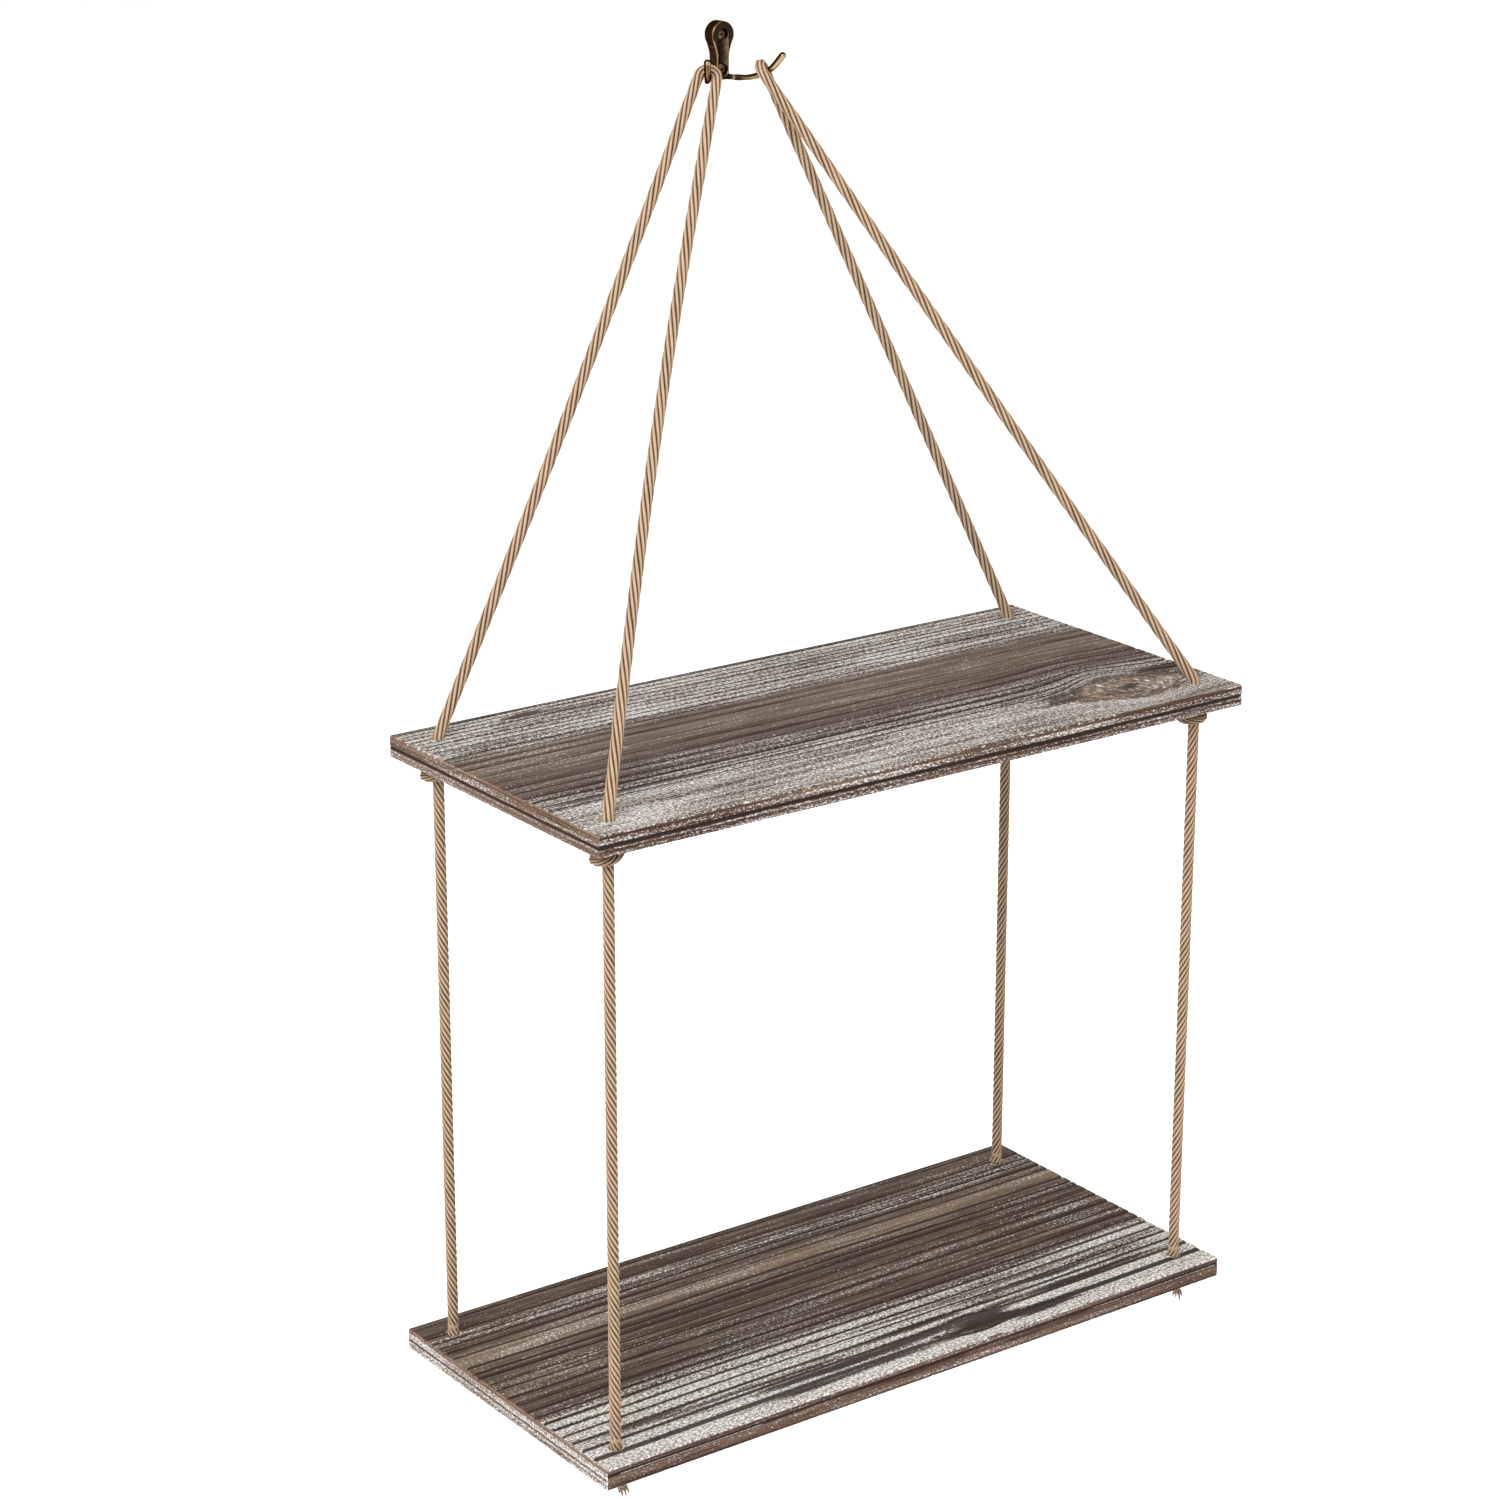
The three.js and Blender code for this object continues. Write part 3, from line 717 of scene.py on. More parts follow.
def laid_cord(name, route, radius, lead, hand, start_twist=0.0, flat=1.0, spread=1.0, centre=None,
              tongue_start=False, tongue_end=False, start_length=0.0, scales=None):
    """A cord of laid strands along a route, as one closed piece."""
    settings = bpy.context.scene.rope_shelf.cord
    scales = scales or [1.0] * len(route)
    if tongue_start:
        route, scales = (part[::-1] for part in add_tongue(route[::-1], scales[::-1], radius))
    if tongue_end:
        route, scales = add_tongue(route, scales, radius)
    bm = bmesh.new()
    around, crown, along = cord_layers(bm)
    ring = bmesh.ops.create_circle(bm, segments=settings.strands * settings.strand_sides, radius=radius)["verts"]
    for vert in ring:
        vert[around], vert[crown] = strand_outline(vert, settings, radius)
        vert[along] = start_length
    placements, lengths = placements_along(
        route, lambda length: hand * 2 * math.pi * length / lead, start_twist, scales
    )
    sweep(bm, ring, placements, along, [start_length + length for length in lengths])
    lay_uv(bm, around, along)
    if centre is not None:
        bmesh.ops.scale(bm, vec=(spread, spread, flat), verts=bm.verts)
        bmesh.ops.translate(bm, vec=centre, verts=bm.verts)
    return finish_mesh(bm, name, [cord_material()], SMOOTH_CORD)


def add_tongue(route, scales, radius):
    """Lengthens a cord by a short rounded end that hides inside the next piece."""
    heading = (route[-1] - route[-2]).normalized()
    for step, scale in TONGUE_STEPS:
        route = [*route, route[-1] + heading * radius * step]
        scales = [*scales, scale]
    return route, scales


def lay_uv(bm, around, along):
    """UV map that runs along the cord and round its strands."""
    uv = bm.loops.layers.uv.new("lay")
    for face in bm.faces:
        values = [loop.vert[around] for loop in face.loops]
        crosses = max(values) - min(values) > 0.5
        for loop, value in zip(face.loops, values):
            loop[uv].uv = (loop.vert[along], value + (1 if crosses and value < 0.5 else 0))


def fibre_group(name):
    """Colour and relief of twisted fibre on a strand, with painted shade darkening the grooves between the strands."""
    group, start = open_group(name, {
        "Lay": (0, 0, 0), "Crown": 1.0, "Strands": 6.0, "Straw": (0.5, 0.35, 0.2, 1), "Shade": (0.2, 0.1, 0.05, 1),
    })
    lay, place = start["Lay"], object_place(group)
    parts = add_node(group, "SeparateXYZ", {0: lay})
    strand = (parts[1] * start["Strands"]).math("FLOOR")
    strand_tone = add_node(group, "TexWhiteNoise", {"W": strand}, noise_dimensions="1D")
    fibres = stretched_noise(group, lay, (260.0, 62.0, 1.0), 3.0, 0.65)
    yarns = (parts[0] * 5200.0 + parts[1] * 110.0).math("SINE")
    mottle = add_node(group, "TexNoise", {"Vector": place, "Scale": 90.0, "Detail": 3.0})
    fuzz = add_node(group, "TexNoise", {"Vector": place, "Scale": 1900.0, "Detail": 2.0})
    # painted shade: low on each strand's crown, towards the grooves, the tone falls to the Shade colour
    tone = start["Crown"].scaled(1.80, -0.22).clamped() + fibres.scaled(0.5, -0.27) + mottle.scaled(0.4, -0.2)
    tone = (tone + strand_tone.scaled(0.14, -0.07) + yarns * 0.05).clamped()
    return close_group(group, {
        "Color": tone.blend_colours(start["Shade"], start["Straw"]),
        "Roughness": fibres.scaled(0.15, 0.8),
        "Height": fibres * 0.7 + (fuzz * 0.35 + yarns * 0.12),
    })


def cord_material():
    """The tan cord, made once."""
    found = bpy.data.materials.get("Tan Laid Cord")
    if found:
        return found
    settings = bpy.context.scene.rope_shelf.cord
    material, tree, shader = new_material(
        "Tan Laid Cord", Specular_IOR_Level=0.25, Sheen_Weight=0.12, Sheen_Roughness=0.5
    )
    # the crown layer drives the painted shade in the grooves between the strands
    fibre = place_group(tree, "Twisted Fibre", fibre_group, {
        "Lay": add_node(tree, "UVMap", uv_map="lay"),
        "Crown": add_node(tree, "Attribute", attribute_name="crown")["Fac"],
        "Strands": float(settings.strands), "Straw": settings.straw, "Shade": settings.shade,
    })
    finish_shader(tree, shader, fibre, 0.6, 0.0004)
    return material


def upright_cord(name, row, side_name, high, low, **tongues):
    """A straight stretch of the cord between two levels, its strands in line with its neighbours'."""
    side, lead = SIDES[side_name], bpy.context.scene.rope_shelf.cord.drop_lead
    count = max(round((high - low) / DROP_STEP), 2)
    route = [hole_place(row, side_name, high + (low - high) * number / count) for number in range(count + 1)]
    return laid_cord(
        name, route, DRAWN_RADIUS, lead, side,
        start_twist=side * 2 * math.pi * (-high) / lead, start_length=-high, **tongues,
    )


def tied_knot(name, level_name, row, side_name, first=0, spread=1.0):
    """A knot at its place, turned as the solids are, from its first point or a later one."""
    turn = Matrix.Rotation(KNOT_FACING[level_name][side_name] * 2 * math.pi, 3, "Z")
    points = [turn @ point for point in knot_points(SIDES[side_name])[first:]]
    return laid_cord(
        name, smooth_route(points, KNOT_STEP), KNOT_CORD / 2, bpy.context.scene.rope_shelf.cord.knot_lead,
        SIDES[side_name], flat=KNOT_FLAT, spread=spread, centre=hole_place(row, side_name, KNOT_LEVEL[level_name]),
    )


def frayed_tail(name, spread_route, side, seed):
    """The strands that leave a knot together, open out and end in ragged points."""
    settings = bpy.context.scene.rope_shelf.cord
    bm = bmesh.new()
    around, crown, along = cord_layers(bm)
    length = lengths_along(spread_route)[-1]
    for strand in range(settings.strands):
        phase = 2 * math.pi * strand / settings.strands + seed
        reach = 0.78 + 0.22 * (0.5 + 0.5 * math.sin(seed * 5.3 + strand * 2.4))
        route, scales = [], []
        for number in range(TAIL_STEPS + 1):
            local = number / TAIL_STEPS
            share = local * reach
            place = share * (len(spread_route) - 1)
            index = min(int(place), len(spread_route) - 2)
            point = spread_route[index].lerp(spread_route[index + 1], place - index)
            opening = TAIL_OPENING + TAIL_SPREAD * max(share - 0.35, 0) ** 1.3
            angle = phase - side * 2 * math.pi * min(share, TAIL_TAPER_START) * length / settings.knot_lead
            waver = TAIL_WAVER * share * noise.noise(Vector((share * 3, strand * 5.1, seed * 7)))
            route.append(point + Vector((math.cos(angle) * opening + waver, math.sin(angle) * opening, 0)))
            taper = max(1.0 - (local - TAIL_TAPER_START) / (1 - TAIL_TAPER_START), 0.0) ** 0.6 * 0.92 + 0.08
            scales.append(1.0 if local < TAIL_TAPER_START else taper)
        ring = bmesh.ops.create_circle(bm, segments=TAIL_SIDES, radius=TAIL_STRAND_RADIUS)["verts"]
        for vert in ring:
            angle = math.atan2(vert.co.y, vert.co.x)
            ridge = 0.5 + 0.5 * math.cos(3 * angle)
            vert.co.x, vert.co.y = vert.co.x * (0.8 + 0.25 * ridge), vert.co.y * (0.8 + 0.25 * ridge)
            # the ridge goes to the crown layer, so the valleys between the ridges get painted shade
            vert[around], vert[crown], vert[along] = (angle / (2 * math.pi)) % 1, ridge, 0.0
        placements, lengths = placements_along(route, lambda x: side * x * TAIL_TWIST, 0.0, scales)
        sweep(bm, ring, placements, along, lengths)
    lay_uv(bm, around, along)
    return finish_mesh(bm, name, [cord_material()], SMOOTH_CORD)


# ---------------------------------------------------------------- boards


# Bands across each face from the wall to the room, in hundredths: share of the depth, whitewash, tone, dark line
UPPER_TOP_BANDS = (
    (0, 28, 30, 50), (2.5, 59, 40, 0), (24, 61, 40, 0), (28, 38, 40, 0), (33, 4, 28, 0), (42, 10, 42, 0),
    (50, 4, 32, 0), (55, 3, 13, 0), (64, 27, 20, 0), (70, 44, 28, 0), (78, 50, 32, 0), (86, 53, 33, 0),
    (95, 52, 33, 0), (100, 46, 30, 0),
)
LOWER_TOP_BANDS = (
    (0, 2, 10, 10), (9, 4, 13, 0), (12, 38, 26, 0), (17, 30, 26, 0), (20, 6, 15, 0), (26, 24, 75, 0),
    (31, 8, 42, 0), (36, 3, 8, 0), (44, 12, 18, 0), (52, 20, 22, 0), (60, 10, 14, 0), (65.5, 15, 10, 0),
    (68.5, 60, 20, 0), (80, 72, 25, 0), (90, 80, 25, 0), (100, 84, 20, 0),
)
UNDERSIDE_BANDS = (
    (0, 30, 40, 0), (20, 60, 40, 0), (35, 15, 50, 0), (50, 50, 35, 0), (70, 15, 45, 0), (85, 60, 40, 0),
    (100, 40, 30, 0),
)
# Bands of the edges from the underside up
UPPER_EDGE_BANDS = (
    (0, 30, 30, 10), (8, 42, 40, 0), (20, 36, 30, 0), (26, 15, 20, 10), (30, 45, 40, 0), (37, 40, 30, 0),
    (40, 2, 10, 60), (53, 2, 15, 50), (57, 50, 40, 0), (80, 48, 40, 0), (83, 2, 25, 0), (95, 0, 40, 0),
    (100, 5, 50, 0),
)
UPPER_END_BANDS = (
    (0, 20, 80, 0), (12, 30, 90, 0), (20, 16, 70, 0), (28, 30, 85, 0), (33, 65, 90, 0), (38, 15, 60, 0),
    (43, 2, 5, 50), (52, 2, 10, 50), (56, 30, 60, 0), (84, 30, 65, 0), (88, 2, 60, 0), (100, 2, 95, 0),
)
LOWER_EDGE_BANDS = (
    (0, 6, 15, 0), (10, 4, 10, 10), (16, 22, 40, 0), (35, 16, 45, 0), (50, 12, 35, 0), (57, 10, 30, 0),
    (66, 2, 8, 45), (74, 2, 10, 35), (80, 20, 40, 0), (92, 22, 40, 0), (96, 3, 40, 0), (100, 5, 50, 0),
)
LOWER_END_BANDS = (
    (0, 55, 80, 0), (16, 66, 90, 0), (22, 40, 70, 0), (28, 66, 90, 0), (40, 60, 85, 0), (46, 15, 40, 20),
    (50, 10, 30, 30), (54, 68, 90, 0), (80, 70, 95, 0), (85, 5, 80, 0), (100, 3, 100, 0),
)
# Burnt grain lines across each face: distance from the wall edge and width in mm, share of the full depth
UPPER_TOP_LINES = (
    (3.5, 2.2, 0.8), (8.6, 2.0, 0.85), (14, 1.8, 0.9), (19, 2.4, 0.9), (24.5, 1.8, 0.8), (29.8, 2.2, 0.95),
    (35, 2.0, 0.9), (40.5, 2.2, 0.85), (46.5, 1.8, 0.9), (53, 2.4, 0.9), (59, 1.8, 0.6), (66, 2.0, 0.45),
    (75, 2.2, 0.5), (88, 2.0, 0.4), (101, 2.0, 0.5), (112, 3.2, 0.6), (121, 2.2, 0.55), (131, 2.2, 0.75),
    (138, 3.6, 1.0), (146.5, 2.6, 1.0), (153, 2.0, 0.9), (161, 1.6, 0.3), (173, 1.5, 0.2), (186, 1.5, 0.2),
)
LOWER_TOP_LINES = (
    (5, 2.0, 0.5), (19, 2.2, 0.8), (27, 1.8, 0.6), (33, 2.0, 0.8), (39.5, 3.0, 1.0), (47, 2.0, 0.7),
    (61, 3.6, 0.8), (69, 2.6, 0.9), (75, 3.0, 0.9), (84, 2.0, 0.5), (92, 2.4, 0.8), (103, 3.4, 1.0),
    (113, 2.4, 0.5), (122, 3.2, 0.9), (130, 2.4, 0.8), (138, 3.6, 1.0), (147, 2.8, 0.9), (155.5, 2.6, 0.9),
    (164.7, 3.4, 1.0), (174.4, 3.8, 1.0), (185.7, 5.4, 1.0),
)
UNDERSIDE_LINES = tuple(
    (12 + 13.5 * number + 4 * math.sin(number * 2.3), 2.2, 0.7 + 0.3 * math.sin(number)) for number in range(14)
)
# Eyes in the grain: place along and across the board, half length and half width
UPPER_EYES = ((0.1616, -0.1662, 0.030, 0.0205), (-0.136, -0.0125, 0.013, 0.0026))
LOWER_EYES = ((0.046, -0.184, 0.017, 0.0065),)
# Dark smears in the grain: place along and across the board, half length, half width and how dark
UPPER_SMEARS = (
    (0.200, -0.150, 0.020, 0.0055, 0.75), (0.118, -0.158, 0.018, 0.006, 0.5), (-0.136, -0.0125, 0.013, 0.0028, 1.0),
    (-0.150, -0.150, 0.060, 0.0025, 0.6),
)
LOWER_SMEARS = (
    (0.050, -0.183, 0.028, 0.0085, 1.0), (0.084, -0.189, 0.032, 0.0050, 1.0), (0.004, -0.166, 0.080, 0.0028, 0.7),
    (0.115, -0.172, 0.095, 0.0030, 0.7), (-0.045, -0.179, 0.085, 0.0032, 0.8), (-0.060, -0.190, 0.095, 0.0026, 0.7),
    (-0.110, -0.171, 0.070, 0.0024, 0.6), (0.130, -0.186, 0.080, 0.0028, 0.7), (0.060, -0.152, 0.090, 0.0028, 0.5),
    (-0.170, -0.168, 0.038, 0.0022, 0.5), (0.110, -0.160, 0.060, 0.0032, 0.8), (0.012, -0.176, 0.055, 0.0034, 0.8),
)
# Rows down a sawn edge: drop below the top face, and how deep in a line the row lies
UPPER_EDGE_ROWS = (
    (0.0007, 0), (0.0020, 0), (0.0036, 0), (0.0049, 0), (0.0055, 0.9), (0.0068, 0.9), (0.0074, 0),
    (0.0084, 0), (0.0088, 0.5), (0.0092, 0), (0.0102, 0), (BOARD_THICKNESS - 0.0007, 0),
)
LOWER_EDGE_ROWS = (
    (0.0007, 0), (0.0018, 0), (0.0028, 0), (0.0032, 0.7), (0.0040, 0.7), (0.0045, 0), (0.0058, 0),
    (0.0072, 0), (0.0086, 0), (0.0098, 0), (0.0104, 0.3), (BOARD_THICKNESS - 0.0007, 0),
)
# The lines scored into a sawn end, by their heights above the underside
END_LINES = (0.0017, 0.0031, 0.0055, 0.0083, 0.0101)
END_LINE_WIDTH = 0.0006
END_LINE_DEPTH = 0.0003
END_LINE_DARK = 0.35

BOARD_EASE = 0.0006
BOARD_STATIONS = 150
TOP_ROW_SPACING = 0.0045
UNDERSIDE_ROW_SPACING = 0.009
ROW_ROOM = 0.0012
ROW_MARGIN = 0.0015
CALM_MARGIN = 0.012
FACE_SWELL = 0.00010
EDGE_LINE_SHARE = 0.8
EDGE_WAVER = 0.0006
EDGE_WAVER_MARGIN = 0.001
CUTTER_OVERRUN = 0.002
TOP, UNDERSIDE, EDGE, END, BORE = range(5)


def section_rows(lines, spacing):
    """Rows of verts across a face, between its eased edges: place, and how deep in a line it lies."""
    rows = []
    for place, width, depth in lines:
        place, width = place / 1000, width / 1000
        rows += [(place - width / 2, 0.0), (place - width / 6, depth)]
        rows += [(place + width / 6, depth), (place + width / 2, 0.0)]
    count = round(BOARD_DEPTH / spacing)
    for number in range(1, count):
        place = BOARD_DEPTH * number / count
        if all(abs(place - other) > ROW_ROOM for other, _ in rows):
            rows.append((place, 0.0))
    inside = sorted(row for row in rows if ROW_MARGIN < row[0] < BOARD_DEPTH - ROW_MARGIN)
    return [(BOARD_EASE, 0.0), *inside, (BOARD_DEPTH - BOARD_EASE, 0.0)]


def board_section(lines_above, edge_rows):
    """The board's section as a closed loop of (y, z, grain, line depth, inward y, inward z)."""
    reach, height = BOARD_DEPTH, BOARD_THICKNESS
    above, below = section_rows(lines_above, TOP_ROW_SPACING), section_rows(UNDERSIDE_LINES, UNDERSIDE_ROW_SPACING)
    return [
        *((-place, 0.0, place, line, 0, -1) for place, line in above),
        *((-reach, -drop, reach, line, 1, 0) for drop, line in edge_rows),
        *((-place, -height, place, line, 0, 1) for place, line in reversed(below)),
        *((0.0, -drop, 0.0, line, -1, 0) for drop, line in reversed(edge_rows)),
    ]


def eye_push(x, y, eyes):
    """How far the grain is pushed aside round the eyes at a point of the board."""
    push = 0.0
    for eye_x, eye_y, half_length, half_width in eyes:
        away = y - eye_y
        reach = math.exp(-(((x - eye_x) / half_length) ** 2)) * math.exp(-abs(away) / (1.5 * half_width))
        push += half_width * math.copysign(1, away) * reach
    return push


def score_end(bm, cap, inward):
    """Scores the end lines into the flat face that closes one end of a board."""
    groove = bm.verts.layers.float["groove"]
    low_z = min(vert.co.z for vert in cap.verts)
    faces = [cap]
    for height in END_LINES:
        for step, depth in ((-1, 0), (0, 1), (1, 0)):
            level = Vector((0, 0, low_z + height + step * END_LINE_WIDTH / 2))
            geometry = {part for face in faces for part in (face, *face.edges, *face.verts)}
            cut = bmesh.ops.bisect_plane(
                bm, geom=list(geometry), dist=0.0000001, plane_co=level, plane_no=(0, 0, 1)
            )
            faces = [part for part in cut["geom"] if isinstance(part, bmesh.types.BMFace)]
            for vert in cut["geom_cut"]:
                if isinstance(vert, bmesh.types.BMVert):
                    vert.co.x += inward * depth * END_LINE_DEPTH
                    vert[groove] = END_LINE_DARK * depth


def wood_board(name, low, high, lines, edge_rows, eyes, seed, materials):
    """One board with its grain lines cut in, drilled for the cords."""
    section = board_section(lines, edge_rows)
    bm = bmesh.new()
    layers = [bm.verts.layers.float.new(label) for label in ("grain", "line", "inward_y", "inward_z")]
    ring = bmesh.ops.create_circle(bm, segments=len(section), radius=1)["verts"]
    for vert, (y, z, *rest) in zip(ring, section):
        vert.co = (0, high.y + y, high.z + z)
        for layer, value in zip(layers, rest):
            vert[layer] = value
    stations = [low.x + (high.x - low.x) * number / BOARD_STATIONS for number in range(1, BOARD_STATIONS)]
    stations = [low.x, low.x + BOARD_EASE, *stations, high.x - BOARD_EASE, high.x]
    placements = [Matrix.Translation((x, 0, 0)) for x in stations]
    middle = (high + low) / 2
    eased = Matrix.Diagonal((1, 1 - 2 * BOARD_EASE / BOARD_DEPTH, 1 - 2 * BOARD_EASE / BOARD_THICKNESS, 1))
    for end in (0, -1):
        placements[end] = placements[end] @ Matrix.Translation(middle) @ eased @ Matrix.Translation(-middle)
    sweep(bm, ring, placements)
    carve_grain(bm, low, high, layers, eyes, seed)
    bmesh.ops.recalc_face_normals(bm, faces=bm.faces)
    for face in list(bm.faces):
        if abs(face.normal.x) > 0.99 and len(face.verts) > 4:
            score_end(bm, face, -math.copysign(1, face.normal.x))
    map_grain(bm, low, layers[0])
    blank = finish_mesh(bm, name, materials, SMOOTH_BOARD)
    drill(blank, high)
    return blank


def carve_grain(bm, low, high, layers, eyes, seed):
    """Sinks the grain lines into the board's faces and lets the grain wander."""
    settings = bpy.context.scene.rope_shelf.board
    grain, line, inward_y, inward_z = layers
    groove = bm.verts.layers.float.new("groove")
    for vert in bm.verts:
        x, y, place = vert.co.x, vert.co.y, vert[grain]
        calm = min(min(place, BOARD_DEPTH - place) / CALM_MARGIN, 1.0)
        fade = 1.05 + 0.6 * noise.noise(Vector((x * 9, place * 300, seed)))
        strength = min(max(vert[line] * fade, 0.0), 1.0)
        at_end = min(x - low.x, high.x - x) < BOARD_EASE * 1.5
        vert[groove] = 0.0 if at_end else strength
        depth = settings.line_depth * strength
        if vert[inward_z]:
            swell = FACE_SWELL * noise.noise(Vector((x * 14, place * 160, seed + 5)))
            vert.co.z += vert[inward_z] * (depth + abs(swell))
            wander = settings.wander * noise.noise(Vector((x * 5, place * 14, seed + 9)))
            vert.co.y += calm * (wander + (eye_push(x, y, eyes) if vert[inward_z] < 0 else 0))
        else:
            vert.co.y += vert[inward_y] * depth * EDGE_LINE_SHARE
            if EDGE_WAVER_MARGIN < high.z - vert.co.z < BOARD_THICKNESS - EDGE_WAVER_MARGIN:
                vert.co.z += EDGE_WAVER * noise.noise(Vector((x * 8, seed, vert.co.z * 60)))


def map_grain(bm, low, grain):
    """Gives each face its material and its grain coordinates: along the grain, and across the face."""
    uv = bm.loops.layers.uv.new("grain")
    for face in bm.faces:
        face.normal_update()
        if abs(face.normal.x) > 0.6:
            face.material_index = END
        elif abs(face.normal.z) < 0.6:
            face.material_index = EDGE
        else:
            face.material_index = TOP if face.normal.z > 0 else UNDERSIDE
        for loop in face.loops:
            place = loop.vert.co
            along = place.y if face.material_index == END else place.x
            across = place.z - low.z if face.material_index in (EDGE, END) else loop.vert[grain]
            loop[uv].uv = (along, across)


def drill(blank, high):
    """Cuts the four eased cord holes through a board and makes the cut its own mesh."""
    bm = bmesh.new()
    radius, mouth = HOLE_DIAMETER / 2, HOLE_DIAMETER / 2 + HOLE_EASE
    levels = (
        (mouth + CUTTER_OVERRUN, CUTTER_OVERRUN), (mouth, 0.0),
        (radius, -HOLE_EASE), (radius, -BOARD_THICKNESS + HOLE_EASE),
        (mouth, -BOARD_THICKNESS), (mouth + CUTTER_OVERRUN, -BOARD_THICKNESS - CUTTER_OVERRUN),
    )
    for row, side_name in CORNERS:
        ring = bmesh.ops.create_circle(bm, segments=ROUND_SIDES, radius=1)["verts"]
        sweep(bm, ring, [
            Matrix.Translation(hole_place(row, side_name, high.z + z)) @ Matrix.Diagonal((size, size, 1, 1))
            for size, z in levels
        ])
    cut_away(blank, finish_mesh(bm, "hole_cutter", [blank.data.materials[BORE]]))


def whitewash_group(name):
    """Torched wood under worn whitewash, driven by grain coordinates."""
    group, start = open_group(name, {
        "Grain": (0, 0, 0), "Wash": 0.5, "Tone": 0.5, "Line": 0.0, "Paint": (0.8, 0.8, 0.8, 1),
        "Bare": (0.3, 0.2, 0.1, 1), "Torched": (0.1, 0.05, 0.02, 1), "Burnt": (0.02, 0.01, 0.01, 1),
    })
    streaks, fine, patches, flecks, crumbs, worms = (
        stretched_noise(group, start["Grain"], (along, across, 1.0), detail, roughness)
        for along, across, detail, roughness in (
            (9.0, 260.0, 4.0, 0.6), (40.0, 1100.0, 3.0, 0.6), (14.0, 60.0, 2.0, 0.5),
            (420.0, 1050.0, 2.0, 0.6), (1000.0, 1500.0, 1.0, 0.5), (480.0, 850.0, 2.0, 0.55),
        )
    )
    tone = (start["Tone"] + streaks.scaled(1.8, -0.92) + fine.scaled(1.6, -0.82)).clamped()
    wood = tone.blend_colours(start["Torched"], start["Bare"])
    cover = (start["Wash"] + patches.scaled(0.7, -0.35) + streaks.scaled(1.3, -0.65)).clamped()
    grit = flecks * 0.6 + crumbs * 0.4
    mask = (grit - cover.scaled(-0.30, 0.65)).soft_step(-0.025, 0.03)
    paint = worms.soft_step(0.455, 0.555, 0.0, 0.84).blend_colours(start["Paint"], start["Bare"])
    line = (start["Line"] + flecks.scaled(0.5, -0.25)).soft_step(0.12, 0.50) * start["Line"].soft_step(0.02, 0.15)
    return close_group(group, {
        "Color": (line * 0.93).blend_colours(mask.blend_colours(wood, paint), start["Burnt"]),
        "Roughness": mask.scaled(0.12, 0.72),
        "Height": mask * 0.5 + fine * 0.4 - line * 0.5,
    })


MARK_INPUTS = {"Place": (0, 0, 0), "Centre": (0, 0, 0), "Stretch": (1, 1, 1)}


def vector_math(group, operation, first, second=None, output=0):
    inputs = {0: first} if second is None else {0: first, 1: second}
    return add_node(group, "VectorMath", inputs, operation=operation)[output]


def mark_place(group, start):
    """The place on the board as seen from a mark's centre, in the mark's own half lengths."""
    offset = vector_math(group, "SUBTRACT", start["Place"], start["Centre"])
    return vector_math(group, "MULTIPLY", offset, start["Stretch"])


def eye_group(name):
    """An eye in the grain: a dark heart in pale rings, inside a pointed oval."""
    group, start = open_group(name, MARK_INPUTS)
    scaled = mark_place(group, start)
    ragged = add_node(group, "TexNoise", {"Vector": scaled, "Scale": 2.2, "Detail": 4.0})[1]
    ragged = vector_math(group, "SUBTRACT", ragged, (0.5, 0.5, 0.5))
    warped = vector_math(group, "ADD", scaled, vector_math(group, "MULTIPLY", ragged, (0.75, 0.75, 0.75)))
    parts = add_node(group, "SeparateXYZ", {0: warped})
    opening = (parts[0] * parts[0] * -0.6).math("EXPONENT").math("MAXIMUM", 0.001)
    lens = parts[1].math("ABSOLUTE").math("DIVIDE", opening)
    away = vector_math(group, "LENGTH", vector_math(group, "MULTIPLY", warped, (0.95, 1, 0)), output="Value")
    rings = (away * 24.0).math("SINE")
    tails = away.soft_step(0.85, 1.25)
    rim = lens.soft_step(0.70, 0.85) * lens.soft_step(0.92, 1.1, 1.0, 0.0)
    return close_group(group, {
        "Mask": lens.soft_step(0.85, 1.15, 1.0, 0.0),
        "Tone": rings.scaled(0.32, 0.58) * away.soft_step(0.05, 0.42) * tails.scaled(-0.75, 1.0),
        "Line": away.soft_step(0.10, 0.26, 0.9, 0.0).math("MAXIMUM", rim * 0.35),
    })


def smear_group(name):
    """A ragged dark smear along the grain."""
    group, start = open_group(name, MARK_INPUTS)
    ragged = stretched_noise(group, start["Place"], (28.0, 380.0, 1.0), 3.0)
    away = vector_math(group, "LENGTH", mark_place(group, start), output="Value") + ragged.scaled(1.6, -0.8)
    return close_group(group, {"Mask": away.soft_step(0.20, 1.40, 1.0, 0.0)})


def band_ramp(tree, across, bands):
    """The whitewash, tone and dark line of the bands across a face."""
    ramp = add_node(tree, "ValToRGB", {0: across})
    stops = ramp.socket.node.color_ramp.elements
    while len(stops) < len(bands):
        stops.new(0.5)
    for stop, (share, *values) in zip(stops, bands):
        stop.position = share / 100
        stop.color = (*(value / 100 for value in values), 1)
    values = add_node(tree, "SeparateColor", {0: ramp})
    return values[0], values[1], values[2]


